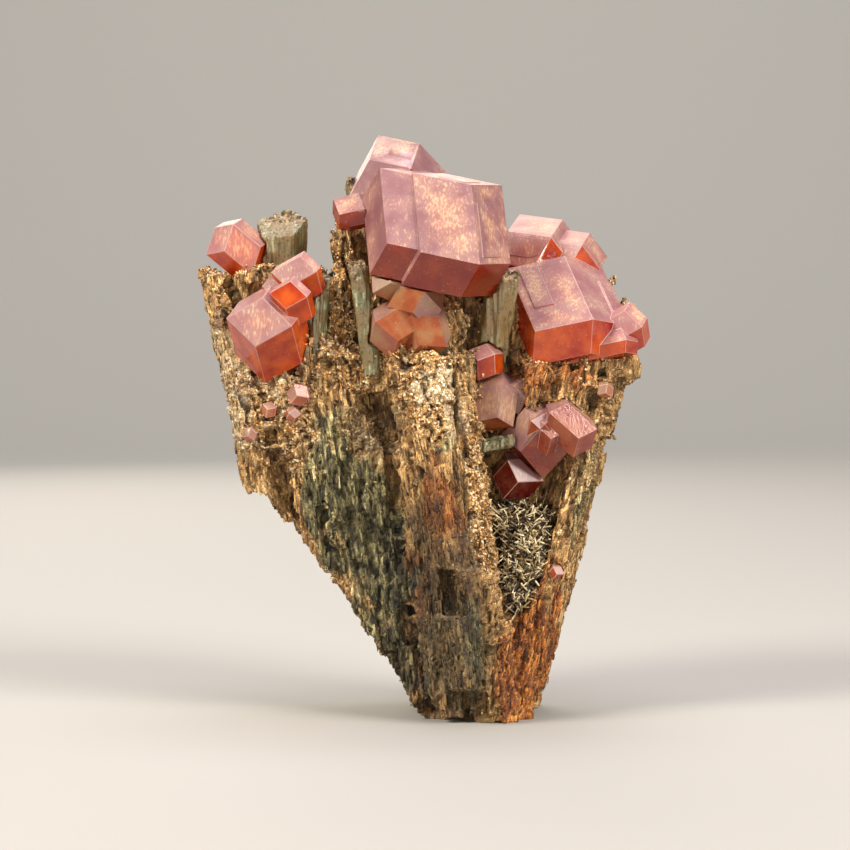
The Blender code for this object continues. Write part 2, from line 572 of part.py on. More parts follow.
def build_crust(home, cutters):
    """The needle crust: a bed with needles standing out of its front."""
    crust = hull_object("needle_crust", CRUST_BED, home)
    walls = hull_object("walls", HOLLOWS["pocket"], cutters)
    tree = BVHTree.FromObject(walls, bpy.context.evaluated_depsgraph_get())
    bed = BVHTree.FromObject(crust, bpy.context.evaluated_depsgraph_get())
    bm = bmesh.new()
    placed = 0
    while placed < NEEDLE_COUNT:
        start = Vector((rng.uniform(*NEEDLE_ROOTS[0]), -FAR, rng.uniform(*NEEDLE_ROOTS[1]))) * MM
        root = bed.ray_cast(start, Vector((0, 1, 0)))[0]
        if root is None:
            continue
        way = Vector([rng.uniform(*lean) for lean in NEEDLE_WAYS]).normalized()
        tip = root + way * rng.uniform(*NEEDLE_LENGTH) * MM
        near, normal, _, distance = tree.find_nearest(tip)
        if (tip - near).dot(normal) > 0 or distance < NEEDLE_CLEAR * MM:
            continue
        radius = NEEDLE_RADIUS * MM
        made = bmesh.ops.create_cone(bm, cap_ends=True, segments=NEEDLE_SIDES, radius1=radius,
                                     radius2=radius * NEEDLE_TAPER, depth=1.0)
        foot = root - way * NEEDLE_SINK * MM
        middle = Matrix.Translation((tip + foot) / 2)
        turn = way.to_track_quat("Z", "Y").to_matrix().to_4x4()
        stretch = Matrix.Diagonal((1, 1, (tip - foot).length, 1))
        bmesh.ops.transform(bm, matrix=middle @ turn @ stretch, verts=made["verts"])
        placed += 1
    bpy.data.objects.remove(walls, do_unlink=True)
    combine(crust, new_object("needles", bm, cutters), "UNION", "EXACT")
    tidy(crust)
    return crust


def build_specimen():
    """Every piece of the specimen, each in its own object."""
    for old in list(bpy.data.objects):
        bpy.data.objects.remove(old, do_unlink=True)
    home = bpy.data.collections.new("garnet_in_matrix")
    cutters = bpy.data.collections.new("cutters")
    for collection in (home, cutters):
        bpy.context.scene.collection.children.link(collection)

    rock = build_rock(home, cutters)
    garnets = dict(GARNETS)
    garnets.update(small_garnets(rock))
    for name, crystals in garnets.items():
        finish(build_garnet(name, crystals, home, cutters), "garnet")
    for name, neighbour in TRIMMED.items():
        piece = bpy.data.objects[name]
        cut_by_garnets(piece, [garnets[neighbour]], cutters)
        tidy(piece)

    for name, prism in PRISMS.items():
        obj = hull_object(name, prism_points(prism), home)
        cut_by_garnets(obj, GARNETS.values(), cutters)
        tidy(obj)
        finish(obj, "prism")

    crust = build_crust(home, cutters)
    cut_by_garnets(crust, [garnets["garnet_pocket_low"], garnets["garnet_small_6"]], cutters)
    tidy(crust)
    finish(crust, "needles")

    cut_by_garnets(rock, garnets.values(), cutters)
    for prism in PRISMS.values():
        combine(rock, hull_object("socket", prism_points(prism, GAP), cutters), "DIFFERENCE")
    combine(rock, hull_object("socket", grown(CRUST_BED, GAP), cutters), "DIFFERENCE")
    tidy(rock)
    finish(rock, "rock")


build_specimen()
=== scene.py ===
# Garnet in matrix: orange-red garnets grown on a fan of fibrous, sugary rock. Blender 4.5, metres, +Z up.
import math

import bpy
import numpy as np
from mathutils import Matrix, Vector, noise
from mathutils.bvhtree import BVHTree


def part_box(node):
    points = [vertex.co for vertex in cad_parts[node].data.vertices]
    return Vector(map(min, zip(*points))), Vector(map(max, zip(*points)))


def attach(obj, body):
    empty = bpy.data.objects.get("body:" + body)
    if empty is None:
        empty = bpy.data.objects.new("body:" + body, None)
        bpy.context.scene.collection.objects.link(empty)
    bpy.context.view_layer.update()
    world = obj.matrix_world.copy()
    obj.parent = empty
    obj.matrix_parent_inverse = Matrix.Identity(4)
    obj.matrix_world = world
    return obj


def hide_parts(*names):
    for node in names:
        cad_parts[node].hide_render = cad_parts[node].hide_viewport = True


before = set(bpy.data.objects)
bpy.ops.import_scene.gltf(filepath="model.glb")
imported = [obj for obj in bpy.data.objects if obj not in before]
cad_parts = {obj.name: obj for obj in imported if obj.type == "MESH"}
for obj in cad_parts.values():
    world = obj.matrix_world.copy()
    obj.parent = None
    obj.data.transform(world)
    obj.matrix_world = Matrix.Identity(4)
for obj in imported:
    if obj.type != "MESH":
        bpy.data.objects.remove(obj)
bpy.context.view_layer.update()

mm = 0.001                      # sizes below are in millimetres


def linear(hexCode):  # sRGB hex value to a linear colour
    channels = [int(hexCode[k:k + 2], 16) / 255 for k in (1, 3, 5)]
    return [c / 12.92 if c <= 0.04045 else ((c + 0.055) / 1.055) ** 2.4 for c in channels] + [1.0]


def addNode(tree, kind, settings=None, links=None):  # one node with its settings and links
    node = tree.nodes.new("ShaderNode" + kind)
    for name, value in (settings or {}).items():
        if name == "stops":
            while len(node.color_ramp.elements) < len(value):
                node.color_ramp.elements.new(0.5)
            for element, (place, colour) in zip(node.color_ramp.elements, value):
                element.position = place
                element.color = linear(colour)
        elif isinstance(name, str) and hasattr(node, name):
            setattr(node, name, value)
        else:
            node.inputs[name].default_value = value
    for name, source in (links or {}).items():
        tree.links.new(source, node.inputs[name])
    return node


def newMaterial(name):  # an empty material with its output
    material = bpy.data.materials.new(name)
    material.use_nodes = True
    tree = material.node_tree
    tree.nodes.clear()
    return material, tree, addNode(tree, "OutputMaterial")


def activate(piece):
    bpy.ops.object.select_all(action="DESELECT")
    piece.select_set(True)
    bpy.context.view_layer.objects.active = piece


def applyModifier(piece, kind, **settings):
    modifier = piece.modifiers.new(kind.title(), kind)
    for name, value in settings.items():
        setattr(modifier, name, value)
    activate(piece)
    bpy.ops.object.modifier_apply(modifier=modifier.name)


def copyOfNode(nodeName, pieceName):  # a merged copy of a CAD node's mesh
    piece = bpy.data.objects.new(pieceName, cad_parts[nodeName].data.copy())
    bpy.context.scene.collection.objects.link(piece)
    piece.data.materials.clear()
    activate(piece)
    bpy.ops.mesh.customdata_custom_splitnormals_clear()
    bpy.ops.object.mode_set(mode="EDIT")
    bpy.ops.mesh.select_all(action="SELECT")
    bpy.ops.mesh.remove_doubles(threshold=0.001 * mm)
    bpy.ops.object.mode_set(mode="OBJECT")
    return piece


def settle(piece, slotName, material, *nodes):  # the piece rides on the specimen and gets its finish
    piece.data.materials.clear()
    piece.data.materials.append(material)
    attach(piece, "root")
    if nodes:
        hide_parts(*nodes)


def getPoints(piece):  # its points, in mm
    flat = np.empty(len(piece.data.vertices) * 3, np.float32)
    piece.data.vertices.foreach_get("co", flat)
    return flat.reshape(-1, 3).astype(float) / mm


def setPoints(piece, points):
    piece.data.vertices.foreach_set("co", (points * mm).astype(np.float32).ravel())
    piece.data.update()


def getNormals(piece):
    flat = np.empty(len(piece.data.vertices) * 3, np.float32)
    piece.data.vertex_normals.foreach_get("vector", flat)
    return flat.reshape(-1, 3).astype(float)


def store(piece, name, values):  # a value or a vector for each point
    kind = "FLOAT" if values.ndim == 1 else "FLOAT_VECTOR"
    attribute = piece.data.attributes.new(name, kind, "POINT")
    attribute.data.foreach_set("value" if values.ndim == 1 else "vector", values.astype(np.float32).ravel())


def smoothStep(low, high, values):
    t = np.clip((values - low) / (high - low), 0, 1)
    return t * t * (3 - 2 * t)


view = {                        # the camera, in front of the specimen and a little above it
    "target": (-6.6, 0.0, 34.44),
    "distance": 425.0,
    "elevation": 4.0,           # degrees
    "lens": 150.0,
    "sensor": 36.0,
    "clip": 10.0,
}
tilt = math.radians(view["elevation"])
towards = Vector((0, math.cos(tilt), -math.sin(tilt)))
bpy.ops.object.camera_add(location=(Vector(view["target"]) - towards * view["distance"]) * mm,
                          rotation=(math.pi / 2 - tilt, 0, 0))
camera = bpy.context.object
camera.data.lens = view["lens"]
camera.data.sensor_width = view["sensor"]
camera.data.clip_start = view["clip"] * mm
bpy.context.scene.camera = camera

lamps = {                       # place and aim in mm, size in mm, watts, colour
    "left": dict(at=(-330, -230, 350), aim=(-6, 0, 42), size=200, watts=3.6, colour="#fff6ea"),
    "right": dict(at=(320, -270, 330), aim=(-4, 0, 42), size=240, watts=3.7, colour="#fff8f0"),
    "top": dict(at=(20, 0, 400), aim=(-4, 0, 50), size=260, watts=0.9, colour="#eceaff"),
    "front": dict(at=(-30, -520, 60), aim=(-4, 0, 40), size=300, watts=0.9, colour="#fff3e4"),
    "back": dict(at=(-90, 300, 170), aim=(-4, 0, 45), size=260, watts=0.45, colour="#fff3e6"),
    "backdrop": dict(at=(0, 260, 620), aim=(0, 760, 120), size=500, watts=3.2, colour="#ffffff"),
}
for lampName, lamp in lamps.items():
    bpy.ops.object.light_add(type="AREA", location=Vector(lamp["at"]) * mm)
    light = bpy.context.object
    light.name = lampName
    way = Vector(lamp["aim"]) - Vector(lamp["at"])
    light.rotation_euler = way.to_track_quat("-Z", "Y").to_euler()
    light.data.shape = "DISK"
    light.data.size = lamp["size"] * mm
    light.data.energy = lamp["watts"]
    light.data.color = linear(lamp["colour"])[:3]

room = {"colour": "#dfe3ea", "strength": 0.2}       # dim, cool light from all around
world = bpy.data.worlds.new("studio")
world.use_nodes = True
world.node_tree.nodes["Background"].inputs["Color"].default_value = linear(room["colour"])
world.node_tree.nodes["Background"].inputs["Strength"].default_value = room["strength"]
bpy.context.scene.world = world
bpy.context.scene.view_settings.view_transform = "Standard"

stand = {"width": 3000.0, "behind": 700.0, "sweep": 300.0, "sweepSteps": 16, "colour": "#96938d"}


def buildFloor():  # a pale floor that sweeps up behind
    bpy.ops.mesh.primitive_plane_add(size=stand["width"] * mm,
                                     location=(0, (stand["behind"] - stand["width"] / 2) * mm, 0))
    floor = bpy.context.object
    floor.name = "floor"
    bpy.ops.object.transform_apply(location=True, rotation=False, scale=False)
    bpy.ops.object.mode_set(mode="EDIT")
    bpy.ops.mesh.select_all(action="DESELECT")
    bpy.ops.object.mode_set(mode="OBJECT")
    for edge in floor.data.edges:               # the back edge
        edge.select = all(floor.data.vertices[v].co.y > stand["behind"] * mm * 0.9 for v in edge.vertices)
    bpy.ops.object.mode_set(mode="EDIT")
    bpy.ops.mesh.select_mode(type="EDGE")
    bpy.ops.mesh.extrude_region_move(TRANSFORM_OT_translate={"value": (0, 0, stand["width"] / 2 * mm)})
    bpy.ops.object.mode_set(mode="OBJECT")
    applyModifier(floor, "BEVEL", width=stand["sweep"] * mm, segments=stand["sweepSteps"],
                  limit_method="ANGLE")
    bpy.ops.object.shade_smooth()
    material, tree, output = newMaterial("mattPaper")       # matt backdrop paper: even and dull
    shader = addNode(tree, "BsdfPrincipled", {"Base Color": linear(stand["colour"]), "Roughness": 0.8})
    tree.links.new(shader.outputs[0], output.inputs["Surface"])
    floor.data.materials.append(material)


buildFloor()
print("camera, lights and floor are set")


fan = {                         # how the rock's fibres run: two bundles that meet beside the pocket
    "level": 30.0,              # height at which the fibres' places are measured
    "split": 1.8,               # x there at which the left and the right bundle part
    "leanSplit": -0.125,        # sideways run for each mm of height, beside the split
    "leanGrowth": 0.00153,      # how much it grows for each mm in x, in the left bundle
    "leanRight": 0.23,
    "parting": 0.05,            # run of the line where the bundles meet
    "mixedHalf": 1.2,           # half width of the zone where they meet
    "apart": 40.0,              # keeps the two bundles' patterns from meeting
}


def fibrePlace(points):  # where the fibre through each point passes the fan's level, and its height
    height = points[:, 2] - fan["level"]
    atSplit = fan["leanSplit"] - fan["leanGrowth"] * fan["split"]
    left = (points[:, 0] - atSplit * height) / (1 + fan["leanGrowth"] * height)
    right = points[:, 0] - fan["leanRight"] * height
    across = points[:, 0] - fan["split"] - fan["parting"] * height
    share = smoothStep(-fan["mixedHalf"], fan["mixedHalf"], across)
    return np.stack([left * (1 - share) + (right + fan["apart"]) * share, points[:, 1], points[:, 2]], axis=1)


def fibreWay(point):  # direction of the fibres at a point
    across = point[0] - fan["split"] - fan["parting"] * (point[2] - fan["level"])
    if across > 0:
        return Vector((fan["leanRight"], 0, 1)).normalized()
    return Vector((fan["leanSplit"] + fan["leanGrowth"] * across, 0, 1)).normalized()


def cells(points, size, seed):  # a random value from -1 to 1 for each splinter-shaped cell
    scaled = points / np.array(size) + seed
    return np.array([noise.cell(noise.voronoi(Vector(p))[1][0] * 57.0) for p in scaled]) * 2 - 1


def clouds(points, size, seed):  # smooth noise from -1 to 1
    scaled = points / np.array(size) + seed
    return np.array([noise.noise(Vector(p)) for p in scaled])


rock = {
    "voxel": 0.37,                      # size of the remesh's cells; as fine as the triangles' limit lets it be
    "splinter": (1.8, 1.8, 7.0),        # width, depth and length of the broad splinters
    "splinterRelief": 0.26,
    "sliver": (0.75, 0.75, 2.2),
    "sliverRelief": 0.14,
    "crumb": (0.8, 0.8, 0.9),           # in the sugary parts
    "crumbRelief": 0.26,
    "groove": (1.3, 1.3, 14.0),         # between the fibres
    "grooveDepth": 0.5,
    "grooveHalf": 0.09,                 # half its width, as a share of the cloud's height
    "plankSmooth": 0.75,                # the planks have this share of the slivers' relief taken off
    "plankFlat": 0.45,                  # and this share of the splinters' relief and of the grooves
    "contact": 0.9,                     # rock nearer than this to a crystal is drawn up to it
    "contactGap": 0.02,
    "frontEnds": (-3.0, 4.0),           # y over which the front's patches give way to the back's
    "ragged": (2.4, 2.4, 4.0),          # size of the tongues along the patches' rims
    "raggedMuch": 0.7,
    "rim": 1.6,                         # how quickly a patch comes in from its rim
    "backPatch": (5.0, 5.0, 20.0),      # size of the back's patches of moss and rust
    "backMoss": 0.6,
    "backRust": 0.5,
    "topSugar": (20.0, 36.0),           # sugary grains come in on the ledges over this height
    "footKept": (-0.2, 1.2),            # the relief fades out over these heights, so that the foot stays flat
    "hollowSteps": 14,                  # rounds of smoothing that the hollows are measured against
    "hollowFull": (-0.05, 0.55),        # how deep a hollow lies under the smoothed rock, from no painted shade to full painted shade
    "paintedShadeMuch": 0.6,                    # how dark the painted shade patches are at their darkest
}

# blocks cut off the rock, which would show between the crystals: middle and size
trims = [dict(at=(5.6, -3.0, 55.4), size=(7.6, 10.0, 8.0)),
         dict(at=(18.4, 0.0, 54.6), size=(6.4, 14.0, 8.0)),
         dict(at=(20.2, 0.0, 52.4), size=(7.6, 14.0, 7.6))]

# patches on the front: x and z of the middle, half width, half height, lean, strength
patches = {
    "moss": [(-15.0, 25.0, 6.5, 15.0, -0.35, 1.0),
             (-11.5, 9.0, 4.5, 7.0, -0.3, 0.7),
             (-31.0, 37.0, 2.6, 12.0, -0.1, 0.45),
             (-3.0, 8.0, 6.0, 9.0, -0.1, 0.45),
             (-17.5, 43.0, 4.0, 2.5, 0.0, 0.4),
             (12.5, 27.0, 2.2, 8.0, 0.23, 0.6),
             (-4.5, 34.0, 2.0, 2.6, 0.0, 0.7),
             (-0.6, 9.0, 1.0, 8.0, -0.05, 0.7)],
    "rust": [(5.5, 6.0, 5.0, 13.0, 0.2, 1.0),
             (-4.8, 26.0, 2.8, 8.0, -0.1, 0.7),
             (-8.0, 17.0, 1.6, 7.0, -0.12, 0.6),
             (8.5, 41.0, 6.0, 4.0, 0.0, 0.8),
             (-20.4, 30.0, 1.2, 7.0, -0.1, 0.8)],
    "sugar": [(-24.5, 37.0, 6.0, 9.0, -0.2, 0.8),
              (-6.5, 39.0, 5.5, 7.0, 0.0, 0.9),
              (0.0, 27.0, 1.6, 13.0, -0.08, 1.0),
              (-16.0, 42.5, 6.0, 4.0, 0.0, 0.9),
              (-17.0, 50.0, 3.5, 8.0, 0.0, 1.0),
              (14.0, 34.0, 3.5, 10.0, 0.23, 0.5),
              (-14.0, 34.0, 4.0, 4.0, 0.0, 0.6)],
    "pale": [(-5.0, 40.5, 3.6, 3.2, 0.0, 0.9),
             (-2.6, 36.0, 1.8, 4.0, 0.0, 0.6),
             (-30.0, 40.0, 3.4, 10.0, -0.1, 0.65),
             (-24.0, 39.5, 5.0, 5.0, 0.0, 0.4),
             (-13.0, 33.5, 1.6, 2.2, 0.0, 0.35)],
    "plank": [(-3.5, 17.0, 6.0, 20.0, -0.1, 1.0),
              (8.0, 8.0, 6.0, 12.0, 0.2, 0.5),
              (15.0, 30.0, 3.0, 16.0, 0.23, 0.8),
              (-31.0, 37.0, 3.0, 13.0, -0.12, 1.0)],
    # painted shade: darker patches, most of them low on the ridge, where shade falls
    "paintedShade": [(-5.5, 12.0, 7.5, 18.0, -0.1, 1.0),
             (-13.0, 20.0, 7.0, 18.0, -0.35, 0.4),
             (-12.4, 35.0, 3.6, 4.6, 0.0, 0.8),
             (0.5, 46.5, 4.0, 4.0, 0.0, 0.7)],
}


def patchMask(points, kind, ragged):
    front = 1 - smoothStep(*rock["frontEnds"], points[:, 1])
    mask = np.zeros(len(points))
    for x, z, halfWidth, halfHeight, lean, much in patches[kind]:
        dz = points[:, 2] - z
        dx = points[:, 0] - x - lean * dz
        reach = (dx / halfWidth) ** 2 + (dz / halfHeight) ** 2 + ragged
        mask = np.maximum(mask, much * np.clip(rock["rim"] - rock["rim"] * reach, 0, 1))
    return mask * front


def crystalTree():  # all the crystals' faces, to fit the rock to them
    points, faces = [], []
    for name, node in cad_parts.items():
        if name.startswith(("garnet", "prism")):
            base = len(points)
            points += [v.co / mm for v in node.data.vertices]
            faces += [[base + v for v in p.vertices] for p in node.data.polygons]
    return BVHTree.FromPolygons(points, faces)


crystals = crystalTree()


def fitToCrystals(points, before):  # no rock inside a crystal, and none left standing just off it
    for k, start in enumerate(before):
        near, normal, _, gap = crystals.find_nearest(Vector(start), rock["contact"])
        if near is None:
            continue
        if (Vector(start) - near).dot(normal) < 0:
            gap = 0.0
        height = (Vector(points[k]) - near).dot(normal)
        wanted = rock["contactGap"] + gap * gap / rock["contact"]
        points[k] += np.array(normal) * (wanted - height)
    return points


def keepLargest(piece):  # a remesh can leave small closed shells inside
    name = piece.name
    activate(piece)
    bpy.ops.object.mode_set(mode="EDIT")
    bpy.ops.mesh.select_all(action="SELECT")
    bpy.ops.mesh.separate(type="LOOSE")
    bpy.ops.object.mode_set(mode="OBJECT")
    parts = sorted(bpy.context.selected_objects, key=lambda part: len(part.data.vertices))
    largest = parts.pop()
    for part in parts:
        bpy.data.objects.remove(part)
    largest.name = name
    return largest


def buildRock():
    piece = copyOfNode("matrix", "fibrousRock")
    for trim in trims:
        bpy.ops.mesh.primitive_cube_add(size=mm, location=Vector(trim["at"]) * mm)
        block = bpy.context.object
        block.scale = trim["size"]
        applyModifier(piece, "BOOLEAN", operation="DIFFERENCE", solver="MANIFOLD", object=block)
        bpy.data.objects.remove(block)
    applyModifier(piece, "REMESH", mode="VOXEL", voxel_size=rock["voxel"] * mm)
    piece = keepLargest(piece)
    points = getPoints(piece)
    before = points.copy()
    normals = getNormals(piece)
    fibres = fibrePlace(points)
    ragged = clouds(points, rock["ragged"], 3.1) * rock["raggedMuch"]
    moss, rust, pale, paintedShade = (patchMask(points, kind, ragged) for kind in ("moss", "rust", "pale", "paintedShade"))
    plank = patchMask(points, "plank", 0.5 * ragged)
    upward = smoothStep(0.35, 0.8, normals[:, 2])
    onLedges = upward * smoothStep(*rock["topSugar"], points[:, 2])
    sugar = np.maximum(patchMask(points, "sugar", ragged), onLedges)
    back = smoothStep(*rock["frontEnds"], points[:, 1])
    broad = clouds(fibres, rock["backPatch"], 8.8)      # moss on the high side of it, rust on the low side
    moss = np.maximum(moss, rock["backMoss"] * back * smoothStep(-0.1, 0.7, broad + 0.25 * ragged))
    rust = np.maximum(rust, rock["backRust"] * back * smoothStep(0.0, 0.8, 0.25 * ragged - broad))

    flat = 1 - rock["plankFlat"] * plank
    relief = rock["splinterRelief"] * cells(fibres, rock["splinter"], 1.7) * flat
    relief += rock["sliverRelief"] * cells(fibres, rock["sliver"], 5.3) * (1 - rock["plankSmooth"] * plank)
    relief += rock["crumbRelief"] * sugar * cells(points, rock["crumb"], 2.9)
    grooves = np.abs(clouds(fibres, rock["groove"], 6.4))
    relief -= rock["grooveDepth"] * (1 - smoothStep(0.0, rock["grooveHalf"], grooves)) * (1 - upward) * flat
    relief *= smoothStep(*rock["footKept"], points[:, 2])
    points += normals * relief[:, None]
    points = fitToCrystals(points, before)
    points[:, 2] = np.maximum(points[:, 2], 0.0)
    setPoints(piece, points)

    smoothed = piece.copy()                     # what lies under the smoothed rock is a hollow, and gets painted shade
    smoothed.data = piece.data.copy()
    bpy.context.scene.collection.objects.link(smoothed)
    applyModifier(smoothed, "SMOOTH", factor=0.5, iterations=rock["hollowSteps"])
    hollow = ((getPoints(smoothed) - points) * getNormals(smoothed)).sum(axis=1)
    bpy.data.objects.remove(smoothed)
    # tone carries the painted shade of the patches
    looks = {"fibre": fibres, "moss": moss, "rust": rust, "sugar": sugar, "pale": pale, "plank": plank,
             "open": 1 - smoothStep(*rock["hollowFull"], hollow), "tone": 1 - rock["paintedShadeMuch"] * paintedShade}
    for name, values in looks.items():
        store(piece, name, values)
    print("rock:", len(piece.data.polygons), "faces")
    return piece


def rockMaterial():
    # Broken skarn rock: fibrous pyroxene and sugary grains. Dull, with tan, grey-green and rusty streaks
    # along the fibres, painted shade in the gaps between the grains, and a glint from a few grain faces.
    # Painted shade also darkens the hollows and a few listed patches, most of them low on the ridge. The
    # streaks are
    # 0.4 mm wide and 2.8 mm long, the plates 0.7 and 9 mm, the flakes 0.26 and 0.6 mm, the grains 0.3 mm.
    material, tree, output = newMaterial("brokenSkarn")
    fibre = addNode(tree, "Attribute", {"attribute_name": "fibre"})
    zone = {name: addNode(tree, "Attribute", {"attribute_name": name}).outputs["Fac"]
            for name in ("plank", "moss", "rust", "sugar", "pale", "open", "tone")}
    place = addNode(tree, "TexCoord").outputs["Object"]
    inMm = addNode(tree, "VectorMath", {"operation": "SCALE", "Scale": 1 / mm}, {0: place}).outputs[0]
    along = addNode(tree, "Mapping", {"Scale": (1 / 0.4, 1 / 0.4, 1 / 2.8)},
                    {"Vector": fibre.outputs["Vector"]})
    streaks = addNode(tree, "TexNoise", {"Scale": 1.0, "Detail": 4.0, "Roughness": 0.65},
                      {"Vector": along.outputs[0]})
    blotches = addNode(tree, "TexNoise", {"Scale": 1 / 2.6, "Detail": 3.0}, {"Vector": inMm})
    grains = addNode(tree, "TexVoronoi", {"Scale": 1 / 0.3}, {"Vector": inMm})
    gaps = addNode(tree, "TexVoronoi", {"feature": "DISTANCE_TO_EDGE", "Scale": 1 / 0.3}, {"Vector": inMm})
    grainTone = addNode(tree, "SeparateColor", {}, {"Color": grains.outputs["Color"]})
    flakePlace = addNode(tree, "Mapping", {"Scale": (1 / 0.26, 1 / 0.26, 1 / 0.6)},
                         {"Vector": fibre.outputs["Vector"]})
    flakes = addNode(tree, "TexVoronoi", {"Scale": 1.0}, {"Vector": flakePlace.outputs[0]})
    flakeTone = addNode(tree, "SeparateColor", {}, {"Color": flakes.outputs["Color"]})

    tan = addNode(tree, "ValToRGB", {"stops": [
        (0.30, "#36240f"), (0.43, "#8c673a"), (0.55, "#c59b60"), (0.70, "#f0d8a2")]},
        {"Fac": streaks.outputs["Fac"]})
    green = addNode(tree, "ValToRGB", {"stops": [
        (0.34, "#15120a"), (0.45, "#51492a"), (0.56, "#8e8354"), (0.68, "#d6ca94")]},
        {"Fac": streaks.outputs["Fac"]})
    rusty = addNode(tree, "ValToRGB", {"stops": [
        (0.30, "#2e1408"), (0.43, "#7c4216"), (0.56, "#ad6a26"), (0.72, "#d29c54")]},
        {"Fac": streaks.outputs["Fac"]})
    plates = addNode(tree, "Mapping", {"Scale": (1 / 0.7, 1 / 0.7, 1 / 9.0)},
                     {"Vector": fibre.outputs["Vector"]})
    grain = addNode(tree, "TexNoise", {"Scale": 1.0, "Detail": 6.0, "Roughness": 0.7},
                    {"Vector": plates.outputs[0]})
    brown = addNode(tree, "ValToRGB", {"stops": [
        (0.34, "#2a1b0b"), (0.42, "#6e4f28"), (0.54, "#94713f"), (0.70, "#bd9c66")]},
        {"Fac": grain.outputs["Fac"]})
    gold = addNode(tree, "ValToRGB", {"stops": [
        (0.0, "#4e3218"), (0.3, "#ab7639"), (0.65, "#dfae66"), (1.0, "#fdebc0")]},
        {"Fac": grainTone.outputs[0]})
    cream = addNode(tree, "ValToRGB", {"stops": [
        (0.0, "#ab804a"), (0.5, "#efd09a"), (1.0, "#fff6e0")]},
        {"Fac": grainTone.outputs[1]})

    colour = tan.outputs[0]
    layers = {"plank": (0.7, 1.6, brown), "rust": (0.7, 1.3, rusty), "moss": (0.75, 1.25, green),
              "sugar": (0.8, 1.35, gold), "pale": (0.75, 1.4, cream)}       # where each comes in and is full
    for name, (low, high, over) in layers.items():
        if name == "sugar":          # the sugary grains lie on the flaky rock
            flakeShade = addNode(tree, "MapRange", {1: 0.0, 2: 1.0, 3: 0.45, 4: 1.6},
                                 {0: flakeTone.outputs[0]})
            colour = addNode(tree, "VectorMath", {"operation": "SCALE"},
                             {0: colour, "Scale": flakeShade.outputs[0]}).outputs[0]
        broken = addNode(tree, "Math", {"operation": "ADD"}, {0: zone[name], 1: blotches.outputs["Fac"]})
        much = addNode(tree, "MapRange", {1: low, 2: high}, {0: broken.outputs[0]})
        colour = addNode(tree, "Mix", {"data_type": "RGBA"},
                         {0: much.outputs[0], 6: colour, 7: over.outputs[0]}).outputs[2]
    # painted shade in the gaps between the grains
    gapShade = addNode(tree, "MapRange", {1: 0.0, 2: 0.14, 3: 0.35, 4: 1.0}, {0: gaps.outputs["Distance"]})
    sugared = addNode(tree, "Math", {"operation": "MULTIPLY_ADD", 1: 0.5, 2: 0.5}, {0: zone["sugar"]})
    gapped = addNode(tree, "VectorMath", {"operation": "SCALE"}, {0: colour, "Scale": gapShade.outputs[0]})
    colour = addNode(tree, "Mix", {"data_type": "RGBA"},
                     {0: sugared.outputs[0], 6: colour, 7: gapped.outputs[0]}).outputs[2]
    # painted shade: the colour is darkened in the hollows and in the shade patches
    shade = addNode(tree, "MapRange", {1: 0.0, 2: 1.0, 3: 0.10, 4: 1.05}, {0: zone["open"]})
    paintedShade = addNode(tree, "Math", {"operation": "MULTIPLY"}, {0: shade.outputs[0], 1: zone["tone"]})
    final = addNode(tree, "VectorMath", {"operation": "SCALE"}, {0: colour, "Scale": paintedShade.outputs[0]})

    gloss = addNode(tree, "MapRange", {1: 0.75, 2: 1.0, 3: 0.75, 4: 0.28}, {0: grainTone.outputs[2]})
    height = addNode(tree, "Math", {"operation": "ADD"}, {0: streaks.outputs["Fac"], 1: gapShade.outputs[0]})
    bump = addNode(tree, "Bump", {"Strength": 0.8, "Distance": 0.12 * mm}, {"Height": height.outputs[0]})
    shader = addNode(tree, "BsdfPrincipled", {"IOR": 1.55},
                     {"Base Color": final.outputs[0], "Roughness": gloss.outputs[0],
                      "Normal": bump.outputs[0]})
    tree.links.new(shader.outputs[0], output.inputs["Surface"])
    return material


rockPiece = buildRock()
skarn = rockMaterial()
settle(rockPiece, "rock", skarn, "matrix")


def joinedCopies(name, template, places, turns, sizes, attributes):  # one mesh of many small copies
    shape = getPoints(template)
    faces = [list(p.vertices) for p in template.data.polygons]
    bpy.data.objects.remove(template)
    count, corners = len(places), len(shape)
    points = np.einsum("nij,nkj->nki", turns, shape[None] * sizes[:, None]) + places[:, None]
    loops = np.array([v for face in faces for v in face])
    starts = np.cumsum([0] + [len(face) for face in faces[:-1]])
    mesh = bpy.data.meshes.new(name)
    mesh.vertices.add(count * corners)
    mesh.loops.add(count * len(loops))
    mesh.polygons.add(count * len(faces))
    mesh.vertices.foreach_set("co", (points * mm).astype(np.float32).ravel())
    mesh.loops.foreach_set("vertex_index", (np.arange(count)[:, None] * corners + loops[None]).ravel())
    mesh.polygons.foreach_set("loop_start", (np.arange(count)[:, None] * len(loops) + starts[None]).ravel())
    mesh.update(calc_edges=True)
    piece = bpy.data.objects.new(name, mesh)
    bpy.context.scene.collection.objects.link(piece)
    for key, values in attributes.items():
        store(piece, key, np.repeat(values, corners, axis=0))
    print(name + ":", count, "copies")
    return piece


def rockValues(piece, chosen):  # the rock's own values at the chosen points
    values = {}
    for name in ("fibre", "plank", "moss", "rust", "sugar", "pale", "open", "tone"):
        attribute = piece.data.attributes[name]
        wide = 3 if name == "fibre" else 1
        flat = np.empty(len(piece.data.vertices) * wide, np.float32)
        attribute.data.foreach_get("vector" if wide == 3 else "value", flat)
        values[name] = flat.reshape(-1, 3)[chosen] if wide == 3 else flat[chosen]
    return values


def pick(weights, count, seed):  # indexes drawn by weight
    draw = np.random.default_rng(seed)
    return draw.choice(len(weights), size=count, p=weights / weights.sum())


